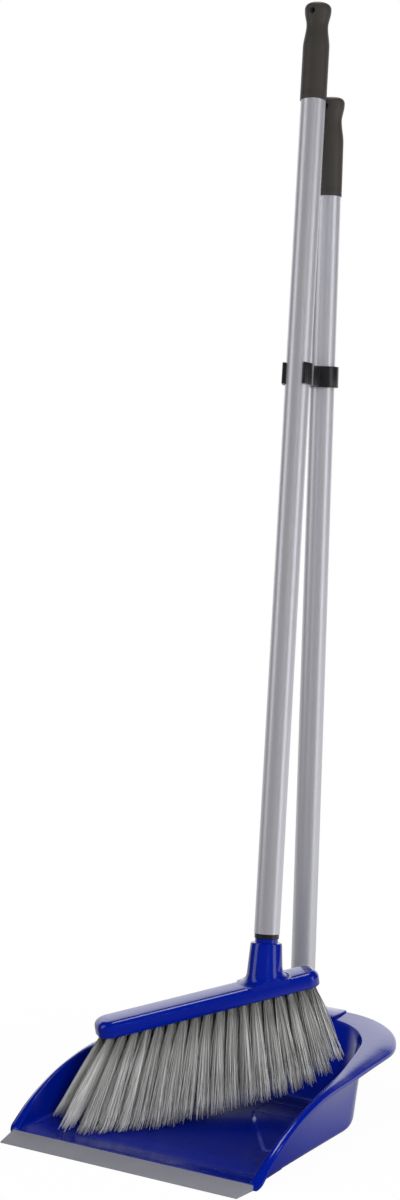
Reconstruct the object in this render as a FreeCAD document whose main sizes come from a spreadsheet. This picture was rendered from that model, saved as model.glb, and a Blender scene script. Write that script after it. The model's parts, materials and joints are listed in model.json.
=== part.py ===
"""Long-handled dust pan and brush set: a scoop pan with a rubber lip, an angled floor brush,
two screwed-in steel handles with hanging grips, and the clip that parks the brush on the pan.

Frame: millimetres, +Z up. The origin is the centre of the pan's flat base on the floor.
X runs across the pan and -Y points out over the lip."""

import FreeCAD, Part
import math
import os
import re

import Sketcher
from FreeCAD import Placement, Rotation, Vector

doc = FreeCAD.newDocument("DustPanSet")

# ---------------------------------------------------------------- driving dimensions

SIZES = [
    ("tube_radius", 11.0, "outer radius of both handle tubes"),
    ("tube_wall", 0.5, "wall of the rolled steel tube"),
    ("tube_length", 778.0, "length of both handle tubes"),
    ("fit_clearance", 0.05, "radial clearance of pushed or screwed joints"),
    ("clip_clearance", 0.08, "radial running clearance of the clip on its tubes"),

    ("collar_radius", 10.55, "black collar that shows between tube and socket"),
    ("collar_length", 3.9, "length of that collar"),
    ("plug_length", 30.0, "part of the ferrule inside the tube"),
    ("shank_radius", 7.75, "part of the ferrule inside the socket"),
    ("shank_length", 25.0, "length of the shank"),
    ("end_clearance", 0.5, "free depth beyond the shank in its bore"),
    ("ferrule_chamfer", 1.0, "lead-in on both ends of the ferrule"),
    ("neck_radius", 9.9, "ring on top of either socket"),
    ("neck_length", 3.7, "height of that ring"),

    ("grip_radius", 11.7, "outer radius of the grip sleeve"),
    ("grip_sleeve", 53.0, "length of the sleeve over the tube"),
    ("grip_shoulder", 59.0, "height where the sleeve starts to narrow"),
    ("grip_neck_radius", 9.6, "waist of the grip"),
    ("grip_neck_height", 66.5, "height of the waist"),
    ("grip_flare_height", 80.0, "height of the widest part of the head"),
    ("grip_height", 86.0, "total height of the grip"),
    ("grip_round", 4.5, "edge radius of the domed head"),
    ("groove_height", 4.5, "ring groove above the bottom edge of the sleeve"),
    ("groove_width", 0.6, "width of the ring groove"),
    ("groove_depth", 0.25, "depth of the ring groove"),
    ("hang_hole_radius", 2.7, "hole for hanging the handle on a hook"),
    ("hang_hole_height", 77.5, "height of the hanging hole on the grip"),

    ("pan_axis_y", 195.5, "where the pan handle's axis meets the floor"),
    ("pan_handle_lean", 0.7, "degrees that the pan handle leans back"),
    ("pan_tube_foot", 63.25, "height of the lower end of the pan tube"),

    ("clip_height", 628.8, "height of the clip on the pan handle"),
    ("clip_depth", 18.5, "length of the clip along the tubes"),
    ("clip_ring_wall", 3.2, "wall of the ring around the pan tube"),
    ("clip_web", 6.0, "thickness of the web between ring and jaw"),
    ("jaw_wall", 2.4, "wall of the open jaw"),
    ("jaw_opening", 100.0, "degrees of the mouth of the jaw"),
    ("jaw_lip_radius", 1.7, "radius of the rolled lips of the jaw"),

    ("base_front", -97.0, "front edge of the pan floor, where the lip begins"),
    ("base_back", 117.0, "back edge of the flat base"),
    ("base_half_front", 110.5, "half width of the base at the front"),
    ("base_flare", 5.5, "how much wider each half of the base is at the back"),
    ("base_waist", 0.7, "how far the sides of the base curve in"),
    ("base_bulge", 5.0, "how far the back of the base curves out"),
    ("base_corner", 57.0, "corner radius of the base"),
    ("base_edge", 6.0, "rounding from the base into the walls"),
    ("pan_wall", 2.2, "wall of the pan"),
    ("floor_height", 2.2, "top of the pan floor"),
    ("floor_plate_back", 76.0, "back edge of the floor plate"),
    ("mouth_level", 56.0, "height at which the mouth outline is given"),
    ("mouth_lean_front", 3.5, "how far the side walls lean out at the front"),
    ("mouth_lean_back", 40.8, "how far the mouth is drawn in from the base at the back corners"),
    ("mouth_back", 187.0, "back of the mouth on the centre line"),
    ("mouth_waist", -13.4, "how far the sides of the mouth curve in, negative where they curve out"),
    ("mouth_bulge", 3.5, "how far the back of the mouth curves out"),
    ("mouth_corner", 66.0, "corner radius of the mouth"),
    ("rim_flange_front", 4.3, "how far the rim reaches out beyond the mouth at the front"),
    ("rim_flange_back", 40.8, "how far the rim reaches out beyond the mouth at the back"),
    ("rim_back", 209.4, "back of the rim on the centre line"),
    ("rim_waist", 0.2, "how far the sides of the rim curve in"),
    ("rim_bulge", 9.2, "how far the back of the rim curves out"),
    ("rim_corner", 74.6, "corner radius of the rim"),
    ("rim_plate", 2.4, "thickness of the rim flange"),
    ("skirt_wall", 2.2, "thickness of the turned-down edge"),
    ("skirt_front", 4.0, "depth of the turned-down edge at the front"),
    ("skirt_back", 9.0, "depth of the turned-down edge at the back"),
    ("rim_y_front", -100.0, "first station of the rim's height curve"),
    ("rim_y_low", -71.0, "second station"),
    ("rim_y_rise", -38.0, "third station"),
    ("rim_y_middle", 2.0, "fourth station"),
    ("rim_y_high", 72.0, "fifth station"),
    ("rim_y_back", 210.0, "sixth station"),
    ("rim_z_front", 2.6, "height of the rim at the first station"),
    ("rim_z_low", 21.3, "height at the second station"),
    ("rim_z_rise", 34.9, "height at the third station"),
    ("rim_z_middle", 44.0, "height at the fourth station"),
    ("rim_z_high", 48.7, "height at the fifth station"),
    ("rim_z_back", 55.5, "height at the sixth station"),
    ("ridge_height", 4.4, "height of the threshold behind the lip"),
    ("ridge_length", 52.0, "length of the threshold's slope to the floor"),

    ("deck_height", 1.0, "height of the raised fields on the floor"),
    ("deck_outer_front_y", -22.0, "front end of a raised field at the side wall"),
    ("deck_outer_x", 79.0, "distance of that end from the centre line"),
    ("deck_middle_y", 35.0, "second corner of a raised field"),
    ("deck_middle_x", 39.0, "its distance from the centre line"),
    ("deck_inner_y", 57.0, "third corner of a raised field"),
    ("deck_inner_x", 26.0, "its distance from the centre line"),
    ("deck_back_y", 104.0, "back end of the raised fields"),
    ("deck_side_gap", 12.0, "gap between the raised fields and the outer side of the base"),
    ("deck_corner", 26.0, "how much the raised fields lose at the pan's back corners"),
    ("deck_groove_front", 58.0, "first groove across a raised field"),
    ("deck_groove_back", 86.0, "second groove across a raised field"),
    ("deck_groove_width", 1.4, "width of the grooves"),
    ("deck_groove_depth", 0.6, "depth of the grooves"),

    ("column_radius", 15.0, "foot radius of the pan's handle socket"),
    ("column_top_radius", 12.5, "top radius of the pan's handle socket"),
    ("column_wall", 2.6, "wall of the hollow lower part of that socket"),
    ("column_web", 3.0, "web under the bore of the pan's socket"),
    ("gusset_wall", 4.0, "rib between the back wall and the socket"),
    ("gusset_foot", 5.0, "height of the rib above the floor"),
    ("saddle_half", 40.0, "half width of the raised field of the rim round the socket"),
    ("saddle_start_y", 181.0, "front edge of that field"),
    ("saddle_rise", 1.5, "height of that field above the rim"),

    ("lip_length", 22.0, "visible length of the rubber lip"),
    ("lip_overhang", 2.0, "how far the lip reaches past the base on either side"),
    ("lip_taper", 2.5, "how much narrower each half of the lip is at its front edge"),
    ("lip_edge", 1.0, "thickness of the lip at its front edge"),
    ("tongue_length", 9.0, "length of the pan's tongue inside the lip"),
    ("tongue_height", 1.2, "thickness of the tongue"),
    ("tongue_level", 0.8, "height of the tongue's underside"),
    ("tongue_inset", 4.0, "distance of the tongue from the lip's ends"),

    ("broom_foot_x", 28.14, "where the brush handle's axis meets the floor, X"),
    ("broom_foot_y", 62.43, "where the brush handle's axis meets the floor, Y"),
    ("handle_gap", 1.2, "gap between the parked brush handle and the top of the pan's grip"),
    ("handle_side", 13.7, "degrees that the brush handle stands left of straight ahead there"),
    ("broom_tube_foot", 152.3, "distance of the brush tube from that point"),
    ("head_turn", 49.0, "degrees that the brush head is turned from X"),
    ("head_slope", 9.8, "degrees that the brush head rises along itself"),
    ("block_foot", 100.3, "distance of the block's underside along the axis"),
    ("block_left", 149.3, "length of the block on its long side"),
    ("block_right", 50.0, "length of the block on its short side"),
    ("block_width", 31.0, "width of the block"),
    ("block_height", 13.0, "thickness of the block"),
    ("block_round", 4.0, "rounding of the block's top edge"),
    ("block_corner", 12.0, "corner radius of the block"),
    ("socket_foot_radius", 15.0, "radius of the brush socket at its foot"),
    ("socket_top_radius", 13.25, "radius of the brush socket at its shoulder"),
    ("socket_cone_foot", 22.0, "height above the block's underside where the cone starts"),

    ("tuft_radius", 2.6, "radius of a tuft where it leaves the block"),
    ("tuft_hole_depth", 11.5, "depth of the tuft holes"),
    ("tuft_count", 18, "tufts in a full row"),
    ("tuft_end_margin", 9.0, "distance of the end tufts from the block's ends"),
    ("row_spacing", 7.3, "distance between neighbouring rows"),
    ("fan_length", 1.36, "how much wider a front row is at its tips"),
    ("fan_length_back", 1.31, "the same for the back rows"),
    ("fan_shift", -5.0, "shift of the tips along the head"),
    ("fan_front", 2.7, "how much further out the front rows are at their tips"),
    ("fan_back", 1.3, "the same for the back rows, which the pan's wall holds in"),
    ("fan_end_loss", 0.6, "share of the back rows' fan that is lost at the ends"),
    ("tuft_gap", 0.5, "gap between neighbouring tips"),
    ("bristle_length", 67.6, "free length of the bristles at the middle"),
    ("bristle_end_loss", 17.0, "how much higher the outermost tips are"),
    ("staple_height", 1.4, "height of the wire anchor above a tuft"),
    ("staple_wire", 0.5, "thickness of the wire anchor"),
    ("staple_length", 4.8, "length of the wire anchor"),
]

# How closely an edge has to lie in place to be picked for a rounding.
EXACTNESS = 0.01

sheet = doc.addObject("Spreadsheet::Sheet", "Sizes")
for row, (alias, number, note) in enumerate(SIZES, start=1):
    sheet.set(f"A{row}", alias)
    sheet.set(f"B{row}", str(number))
    sheet.set(f"C{row}", note)
    sheet.setAlias(f"B{row}", alias)
doc.recompute()


def formula(text):
    """The expression with each size written as its sheet cell."""
    return re.sub(r"\b([a-z]+_[a-z_]+)\b", r"Sizes.\1", str(text))


def size(name):
    """The number in one cell of the sheet."""
    return float(sheet.get(name))


def work_out(text):
    """The present value of a formula."""
    return float(sheet.evalExpression(formula(text)))


# ---------------------------------------------------------------- drawing helpers

def origin_plane(body, role):
    """One of the body's own three origin planes."""
    return next(plane for plane in body.Origin.OriginFeatures if plane.Role == role)


def new_body(label):
    body = doc.addObject("PartDesign::Body", label)
    body.Label = label
    return body


def new_sketch(body, role, name, offset=Placement()):
    sketch = body.newObject("Sketcher::SketchObject", name)
    sketch.AttachmentSupport = [(origin_plane(body, role), "")]
    sketch.MapMode = "FlatFace"
    sketch.AttachmentOffset = offset
    return sketch


def pin_coordinate(sketch, kind, text, geometry, point):
    """Holds one coordinate of a sketch point at the value of a formula."""
    value = work_out(text)
    if text == "0":
        axis = -2 if kind == "DistanceX" else -1
        sketch.addConstraint(Sketcher.Constraint("PointOnObject", geometry, point, axis))
        return
    flip = value < 0
    ends = (geometry, point, -1, 1) if flip else (-1, 1, geometry, point)
    index = sketch.addConstraint(Sketcher.Constraint(kind, *ends, abs(value)))
    sketch.setExpression(f"Constraints[{index}]", formula(f"-({text})" if flip else text))


def draw_outline(sketch, corners):
    """Closed straight outline; each corner is a pair of formulas."""
    points = [Vector(work_out(across), work_out(up), 0) for across, up in corners]
    first = sketch.GeometryCount
    for here, there in zip(points, points[1:] + points[:1]):
        sketch.addGeometry(Part.LineSegment(here, there))
    for index, (across, up) in enumerate(corners):
        after = first + (index + 1) % len(corners)
        sketch.addConstraint(Sketcher.Constraint("Coincident", first + index, 2, after, 1))
    for index, (across, up) in enumerate(corners):
        pin_coordinate(sketch, "DistanceX", across, first + index, 1)
        pin_coordinate(sketch, "DistanceY", up, first + index, 1)


def draw_circle(sketch, across, up, radius):
    """Circle whose centre and radius are formulas."""
    centre = Vector(work_out(across), work_out(up), 0)
    circle = sketch.addGeometry(Part.Circle(centre, Vector(0, 0, 1), work_out(radius)))
    pin_coordinate(sketch, "DistanceX", across, circle, 3)
    pin_coordinate(sketch, "DistanceY", up, circle, 3)
    index = sketch.addConstraint(Sketcher.Constraint("Radius", circle, work_out(radius)))
    sketch.setExpression(f"Constraints[{index}]", formula(radius))


def add_revolution(body, name, corners, offset=Placement()):
    """Turns an outline of (radius, height) pairs about the upright axis."""
    sketch = new_sketch(body, "XZ_Plane", name + "_outline", offset)
    draw_outline(sketch, corners)
    turned = body.newObject("PartDesign::Revolution", name)
    turned.Profile = sketch
    turned.ReferenceAxis = (sketch, ["V_Axis"])
    turned.Angle = 360
    doc.recompute()
    return turned


def add_pad(body, name, sketch, length, middle=False):
    pad = body.newObject("PartDesign::Pad", name)
    pad.Profile = sketch
    pad.setExpression("Length", formula(length))
    pad.Midplane = middle
    doc.recompute()
    return pad


def add_pocket(body, name, sketch, length, middle=False, backwards=False):
    """Cuts a sketch out of the body and checks that it really cuts."""
    before = body.Shape.Volume
    pocket = body.newObject("PartDesign::Pocket", name)
    pocket.Profile = sketch
    pocket.setExpression("Length", formula(length))
    pocket.Midplane = middle
    pocket.Reversed = backwards
    doc.recompute()
    if body.Shape.Volume >= before:
        raise RuntimeError(f"{name} cuts nothing")
    return pocket


def add_fillet(body, name, radius, wanted):
    """Rounds the edges of the body's present shape that the test picks."""
    base = body.Tip
    edges = [f"Edge{index}" for index, edge in enumerate(base.Shape.Edges, start=1) if wanted(edge)]
    fillet = body.newObject("PartDesign::Fillet", name)
    fillet.Base = (base, edges)
    fillet.setExpression("Radius", formula(radius))
    doc.recompute()
    return fillet


def lies_at(height):
    """A test for the edges that lie level at one height."""
    def wanted(edge):
        box = edge.BoundBox
        return box.ZLength < EXACTNESS and abs(box.ZMin - height) < EXACTNESS
    return wanted


def stands_up(edge):
    """True for an edge that runs straight up."""
    box = edge.BoundBox
    return box.ZLength > EXACTNESS and box.XLength + box.YLength < EXACTNESS


# ---------------------------------------------------------------- where the pieces stand

def pan_handle_place(distance):
    """A place on the pan handle's axis, its Z along the handle."""
    lean = Rotation(Vector(1, 0, 0), -size("pan_handle_lean"))
    foot = Vector(0, size("pan_axis_y"), 0)
    return Placement(foot + lean.multVec(Vector(0, 0, distance)), lean)


def broom_foot():
    return Vector(size("broom_foot_x"), size("broom_foot_y"), 0)


def beside_grip():
    """Where the parked brush handle passes the top of the pan's grip."""
    top = size("pan_tube_foot") + size("tube_length") + size("grip_height") - size("grip_sleeve")
    side = math.radians(size("handle_side"))
    apart = 2 * size("grip_radius") + size("handle_gap")
    return pan_handle_place(top).multVec(Vector(-math.sin(side), -math.cos(side), 0) * apart)


def broom_direction():
    return (beside_grip() - broom_foot()).normalize()


def jaw_from_ring():
    """From the middle of the clip's ring to its jaw, level with it on the brush handle's axis."""
    ring = pan_handle_place(size("clip_height"))
    foot = ring.inverse().multVec(broom_foot())
    along = ring.Rotation.inverted().multVec(broom_direction())
    return foot - along * (foot.z / along.z)


def clip_reach():
    """Distance from the pan tube's axis to the jaw's axis."""
    return jaw_from_ring().Length


def clip_place():
    """The clip's ring on the pan handle, its -Y towards the jaw."""
    turn = Rotation(Vector(0, -1, 0), jaw_from_ring())
    return pan_handle_place(size("clip_height")) * Placement(Vector(0, 0, 0), turn)


def broom_handle_place(distance):
    """A place on the brush handle's axis, its Z along the handle."""
    turn = Rotation(Vector(0, 0, 1), broom_direction())
    return Placement(broom_foot() + broom_direction() * distance, turn)


def head_place():
    """The brush head: X along the block, Z out of its top, origin where the axis leaves it."""
    turn = Rotation(Vector(0, 0, 1), size("head_turn"))
    slope = Rotation(Vector(0, 1, 0), -size("head_slope"))
    return Placement(broom_foot() + broom_direction() * size("block_foot"), turn * slope)


# ---------------------------------------------------------------- handles

def make_tube(label, place):
    """Rolled steel tube, open at both ends."""
    body = new_body(label)
    inner = "tube_radius - tube_wall"
    outline = [
        (inner, "0"),
        ("tube_radius", "0"),
        ("tube_radius", "tube_length"),
        (inner, "tube_length"),
    ]
    add_revolution(body, label + "_wall", outline)
    body.Placement = place
    return body


def make_ferrule(label, place):
    """Moulded end of a handle: plug in the tube, collar that shows, shank in the socket."""
    body = new_body(label)
    plug = "tube_radius - tube_wall - fit_clearance"
    outline = [
        ("0", "-collar_length - shank_length"),
        ("shank_radius - ferrule_chamfer", "-collar_length - shank_length"),
        ("shank_radius", "-collar_length - shank_length + ferrule_chamfer"),
        ("shank_radius", "-collar_length"),
        ("collar_radius", "-collar_length"),
        ("collar_radius", "0"),
        (plug, "0"),
        (plug, "plug_length - ferrule_chamfer"),
        (plug + " - ferrule_chamfer", "plug_length"),
        ("0", "plug_length"),
    ]
    add_revolution(body, label + "_turned", outline)
    body.Placement = place
    return body


def make_grip(label, place):
    """Moulded grip: a thin sleeve over the tube, a waist and a domed head with a hanging hole."""
    body = new_body(label)
    bore = "tube_radius + fit_clearance"
    groove = "grip_radius - groove_depth"
    outline = [
        (bore, "0"),
        ("grip_radius", "0"),
        ("grip_radius", "groove_height"),
        (groove, "groove_height"),
        (groove, "groove_height + groove_width"),
        ("grip_radius", "groove_height + groove_width"),
        ("grip_radius", "grip_sleeve"),
        ("(grip_radius * 2 + grip_neck_radius) / 3", "grip_shoulder"),
        ("grip_neck_radius", "grip_neck_height"),
        ("grip_radius", "grip_flare_height"),
        ("grip_radius", "grip_height"),
        ("0", "grip_height"),
        ("0", "grip_sleeve"),
        (bore, "grip_sleeve"),
    ]
    add_revolution(body, label + "_turned", outline)
    add_fillet(body, label + "_dome", "grip_round", lies_at(size("grip_height")))
    sketch = new_sketch(body, "XZ_Plane", label + "_hole_outline")
    draw_circle(sketch, "0", "hang_hole_height", "hang_hole_radius")
    add_pocket(body, label + "_hole", sketch, "4 * grip_radius", middle=True)
    body.Placement = place
    return body


# ---------------------------------------------------------------- clip

def make_clip():
    """One moulding: a ring that turns on the pan tube, a web and an open jaw for the brush tube."""
    body = new_body("holder_clip")
    ring_bore = "tube_radius + clip_clearance"
    ring_outer = f"{ring_bore} + clip_ring_wall"
    jaw_outer = f"{ring_bore} + jaw_wall"
    to_clip = clip_place().Rotation.inverted()
    tilt = Rotation(Vector(0, 0, 1), to_clip.multVec(broom_direction()))
    jaw = Placement(Vector(0, -clip_reach(), 0), tilt)
    web_end = f"tube_radius - {clip_reach()}"

    ring_sketch = new_sketch(body, "XY_Plane", "clip_ring_outline")
    draw_circle(ring_sketch, "0", "0", ring_outer)
    add_pad(body, "clip_ring", ring_sketch, "clip_depth", middle=True)

    web_sketch = new_sketch(body, "XY_Plane", "clip_web_outline")
    web_corners = [
        ("-clip_web / 2", web_end),
        ("clip_web / 2", web_end),
        ("clip_web / 2", "-tube_radius"),
        ("-clip_web / 2", "-tube_radius"),
    ]
    draw_outline(web_sketch, web_corners)
    add_pad(body, "clip_web", web_sketch, "clip_depth", middle=True)

    jaw_sketch = new_sketch(body, "XY_Plane", "clip_jaw_outline", jaw)
    draw_circle(jaw_sketch, "0", "0", jaw_outer)
    add_pad(body, "clip_jaw", jaw_sketch, "clip_depth", middle=True)

    ring_bore_sketch = new_sketch(body, "XY_Plane", "clip_ring_bore_outline")
    draw_circle(ring_bore_sketch, "0", "0", ring_bore)
    add_pocket(body, "clip_ring_bore", ring_bore_sketch, "2 * clip_depth", middle=True)

    jaw_bore_sketch = new_sketch(body, "XY_Plane", "clip_jaw_bore_outline", jaw)
    draw_circle(jaw_bore_sketch, "0", "0", ring_bore)
    add_pocket(body, "clip_jaw_bore", jaw_bore_sketch, "2 * clip_depth", middle=True)

    mouth_sketch = new_sketch(body, "XY_Plane", "clip_mouth_outline", jaw)
    mouth_corners = [
        ("0", "0"),
        ("-2 * tube_radius * tan(jaw_opening / 2 * 1 deg)", "-2 * tube_radius"),
        ("2 * tube_radius * tan(jaw_opening / 2 * 1 deg)", "-2 * tube_radius"),
    ]
    draw_outline(mouth_sketch, mouth_corners)
    add_pocket(body, "clip_mouth", mouth_sketch, "2 * clip_depth", middle=True)

    lip_sketch = new_sketch(body, "XY_Plane", "clip_lips_outline", jaw)
    lip_centre = f"({ring_bore} + jaw_lip_radius)"
    for side in ("-", ""):
        across = f"{side}{lip_centre} * sin(jaw_opening / 2 * 1 deg)"
        ahead = f"-{lip_centre} * cos(jaw_opening / 2 * 1 deg)"
        draw_circle(lip_sketch, across, ahead, "jaw_lip_radius")
    add_pad(body, "clip_lips", lip_sketch, "clip_depth", middle=True)

    body.Placement = clip_place()
    return body


# ---------------------------------------------------------------- brush head

def tuft_pitch():
    return "(block_left + block_right - 2 * tuft_end_margin) / (tuft_count - 1)"


def tuft_rows():
    """For each row: its offset across the block, its first tuft and its count, as formulas."""
    start = "tuft_end_margin - block_left"
    rows = []
    for index in range(4):
        across = f"{index - 1.5} * row_spacing"
        if index % 2 == 0:
            rows.append((across, start, "tuft_count"))
        else:
            rows.append((across, f"{start} + {tuft_pitch()} / 2", "tuft_count - 1"))
    return rows


def make_block():
    """Moulded block with the slanted socket for the handle and the rows of tuft holes."""
    body = new_body("brush_block")
    block_sketch = new_sketch(body, "XY_Plane", "block_outline")
    corners = [
        ("-block_left", "-block_width / 2"),
        ("block_right", "-block_width / 2"),
        ("block_right", "block_width / 2"),
        ("-block_left", "block_width / 2"),
    ]
    draw_outline(block_sketch, corners)
    add_pad(body, "block", block_sketch, "block_height")
    add_fillet(body, "block_ends", "block_corner", stands_up)
    add_fillet(body, "block_top", "block_round", lies_at(size("block_height")))

    head = head_place().Rotation.inverted()
    stand = Rotation(Vector(0, 0, 1), head.multVec(broom_direction()))
    upright = Rotation(Vector(1, 0, 0), 90)
    slanted = Placement(Vector(0, 0, 0), upright.inverted() * stand * upright)
    top_of_neck = "broom_tube_foot - collar_length - block_foot"
    shoulder = f"{top_of_neck} - neck_length"
    bore = "shank_radius + fit_clearance"
    bore_floor = f"{top_of_neck} - shank_length - end_clearance"
    socket_corners = [
        ("0", "block_height / 2"),
        ("socket_foot_radius", "block_height / 2"),
        ("socket_foot_radius", "socket_cone_foot"),
        ("socket_top_radius", shoulder),
        ("neck_radius", shoulder),
        ("neck_radius", top_of_neck),
        (bore, top_of_neck),
        (bore, bore_floor),
        ("0", bore_floor),
    ]
    add_revolution(body, "block_socket", socket_corners, slanted)

    for number, (across, start, count) in enumerate(tuft_rows(), start=1):
        sketch = new_sketch(body, "XY_Plane", f"tuft_holes_{number}_outline")
        draw_circle(sketch, start, across, "tuft_radius + fit_clearance")
        hole = add_pocket(body, f"tuft_hole_{number}", sketch, "tuft_hole_depth", backwards=True)
        holes = body.newObject("PartDesign::LinearPattern", f"tuft_holes_{number}")
        holes.Originals = [hole]
        holes.Direction = (sketch, ["H_Axis"])
        holes.setExpression("Length", formula(f"{tuft_pitch()} * ({count} - 1)"))
        holes.setExpression("Occurrences", formula(count))
        body.Tip = holes
        doc.recompute()
    body.Placement = head_place()
    return body


def tuft_section(centre, half_length, half_width):
    """A closed round or oval section of a tuft."""
    circle = Part.Circle(Vector(0, 0, 0), Vector(0, 0, 1), 1.0).toShape()
    stretch = FreeCAD.Matrix()
    stretch.scale(half_length, half_width, 1.0)
    section = Part.Wire(circle.transformGeometry(stretch))
    section.translate(centre)
    return section


def make_tuft(base_x, base_y):
    """One tuft: a straight root in its hole and a fan of bristles that leans outwards."""
    half_row = (size("block_left") + size("block_right")) / 2 - size("tuft_end_margin")
    middle = (size("block_right") - size("block_left")) / 2
    towards_end = ((base_x - middle) / half_row) ** 4
    drop = size("bristle_length") - size("bristle_end_loss") * towards_end
    spread = size("fan_length")
    fan = size("fan_front")
    if base_y > 0:
        spread = size("fan_length_back")
        fan = size("fan_back") * (1 - size("fan_end_loss") * towards_end)
    tip = Vector(base_x * spread + size("fan_shift"), base_y * fan, -drop)
    half_length = (spread * work_out(tuft_pitch()) - size("tuft_gap")) / 2
    half_width = (fan * size("row_spacing") - size("tuft_gap")) / 2
    root = size("tuft_hole_depth") - size("staple_height")
    radius = size("tuft_radius")
    sections = [
        tuft_section(Vector(base_x, base_y, root), radius, radius),
        tuft_section(Vector(base_x, base_y, 0), radius, radius),
        tuft_section(tip, half_length, half_width),
    ]
    return Part.makeLoft(sections, True, True)


def tuft_places(row):
    """The holes of one row, in the block's own frame."""
    across, start, count = (work_out(text) for text in row)
    pitch = work_out(tuft_pitch())
    return [Vector(start + pitch * index, across, 0) for index in range(round(count))]


def make_feature(label, shape, place):
    """A free shape in the document, under its own name."""
    feature = doc.addObject("Part::Feature", label)
    feature.Label = label
    feature.Shape = shape
    feature.Placement = place
    return feature


def make_tuft_row(label, row):
    tufts = [make_tuft(place.x, place.y) for place in tuft_places(row)]
    return make_feature(label, Part.makeCompound(tufts), head_place())


def make_staples():
    """The flat wire anchor at the bottom of each tuft hole."""
    length = size("staple_length")
    wire = size("staple_wire")
    height = size("staple_height")
    level = size("tuft_hole_depth") - height
    staples = []
    for row in tuft_rows():
        for place in tuft_places(row):
            corner = place + Vector(-length / 2, -wire / 2, level)
            staples.append(Part.makeBox(length, wire, height, corner))
    return make_feature("tuft_staples", Part.makeCompound(staples), head_place())


# ---------------------------------------------------------------- pan

def arc_between(start, end, bulge):
    """The circle of an arc that stands out from its chord to the left by the bulge."""
    chord = end - start
    half = chord.Length / 2
    radius = (half ** 2 + bulge ** 2) / (2 * bulge)
    left = Vector(-chord.y, chord.x, 0).normalize()
    return (start + end) / 2 + left * (bulge - radius), radius


def circles_meet(centre_a, radius_a, centre_b, radius_b, side):
    """Where two circles meet: left of the line from a to b for side 1, right of it for -1."""
    line = centre_b - centre_a
    gap = line.Length
    along = (gap ** 2 + radius_a ** 2 - radius_b ** 2) / (2 * gap)
    aside = side * math.sqrt(radius_a ** 2 - along ** 2)
    unit = line.normalize()
    return centre_a + unit * along + Vector(-unit.y, unit.x, 0) * aside


def plan_outline(half_front, half_back, front, back, waist, bulge, corner, level):
    """Closed outline of the pan in plan: a straight front, sides that curve in by the waist
    or out where it is negative, a back that curves out, and tangent corner arcs."""
    front_right = Vector(half_front, front, 0)
    back_right = Vector(half_back, back - bulge, 0)
    back_left = Vector(-half_back, back - bulge, 0)
    side_centre, side_radius = arc_between(front_right, back_right, waist)
    back_centre, back_radius = arc_between(back_left, back_right, bulge)
    turn = 1 if waist > 0 else -1
    corner_centre = circles_meet(
        back_centre, back_radius - corner, side_centre, side_radius + corner, turn
    )
    side_reach = abs(side_radius)
    side_end = side_centre + (corner_centre - side_centre).normalize() * side_reach
    back_start = back_centre + (corner_centre - back_centre).normalize() * back_radius
    side_middle = side_centre + ((front_right + side_end) / 2 - side_centre).normalize() * side_reach
    outward = (side_end + back_start) / 2 - corner_centre
    corner_middle = corner_centre + outward.normalize() * corner

    def mirrored(point):
        return Vector(-point.x, point.y, 0)

    edges = [
        Part.LineSegment(mirrored(front_right), front_right),
        Part.Arc(front_right, side_middle, side_end),
        Part.Arc(side_end, corner_middle, back_start),
        Part.Arc(back_start, Vector(0, back, 0), mirrored(back_start)),
        Part.Arc(mirrored(back_start), mirrored(corner_middle), mirrored(side_end)),
        Part.Arc(mirrored(side_end), mirrored(side_middle), mirrored(front_right)),
    ]
    wire = Part.Wire([edge.toShape() for edge in edges])
    wire.translate(Vector(0, 0, level))
    return wire


def base_half_back():
    """Half width of the base at the back."""
    return size("base_half_front") + size("base_flare")


def mouth_half_front():
    """Half width of the mouth at the front."""
    return size("base_half_front") + size("mouth_lean_front")


def mouth_half_back():
    """Half width of the mouth at the back."""
    return base_half_back() - size("mouth_lean_back")


def base_outline(inset, level):
    """The foot of the pan's walls, drawn in by the inset."""
    return plan_outline(
        size("base_half_front") - inset,
        base_half_back() - inset,
        size("base_front"),
        size("base_back") - inset,
        size("base_waist"),
        size("base_bulge"),
        size("base_corner") - inset,
        level,
    )


def mouth_outline(outset, level):
    """The mouth between the pan's walls, widened by the outset."""
    return plan_outline(
        mouth_half_front() + outset,
        mouth_half_back() + outset,
        size("base_front"),
        size("mouth_back") + outset,
        size("mouth_waist"),
        size("mouth_bulge"),
        size("mouth_corner") + outset,
        level,
    )


def rim_prism(inset):
    """Everything inside the rim's outline, drawn in by the inset, from the floor up."""
    outline = plan_outline(
        mouth_half_front() + size("rim_flange_front") - inset,
        mouth_half_back() + size("rim_flange_back") - inset,
        size("base_front"),
        size("rim_back") - inset,
        size("rim_waist"),
        size("rim_bulge"),
        size("rim_corner") - inset,
        0,
    )
    return Part.Face(outline).extrude(Vector(0, 0, 2 * size("mouth_level")))


RIM_STATIONS = ("front", "low", "rise", "middle", "high", "back")


def rim_curve(drop_front, drop_back):
    """The height curve of the rim along Y, lowered by a drop that grows towards the back."""
    first = size("rim_y_front")
    length = size("rim_y_back") - first
    points = []
    for station in RIM_STATIONS:
        along = (size("rim_y_" + station) - first) / length
        drop = drop_front + (drop_back - drop_front) * along
        points.append(Vector(0, size("rim_y_" + station), size("rim_z_" + station) - drop))
    before = points[0] + (points[0] - points[1])
    after = points[-1] + (points[-1] - points[-2]) * 0.5
    curve = Part.BSplineCurve()
    curve.interpolate([before] + points + [after])
    return curve.toShape()


def rim_band(drop_front, drop_back):
    """The layer right under the rim's height curve, as thick as the drop, across the pan."""
    upper = rim_curve(0, 0)
    lower = rim_curve(drop_front, drop_back)
    ends = [
        Part.makeLine(upper.Vertexes[0].Point, lower.Vertexes[0].Point),
        Part.makeLine(upper.Vertexes[-1].Point, lower.Vertexes[-1].Point),
    ]
    section = Part.Face(Part.Wire(Part.__sortEdges__([upper, lower] + ends)))
    half = 2 * mouth_half_front()
    section.translate(Vector(-half, 0, 0))
    return section.extrude(Vector(2 * half, 0, 0))


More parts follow.
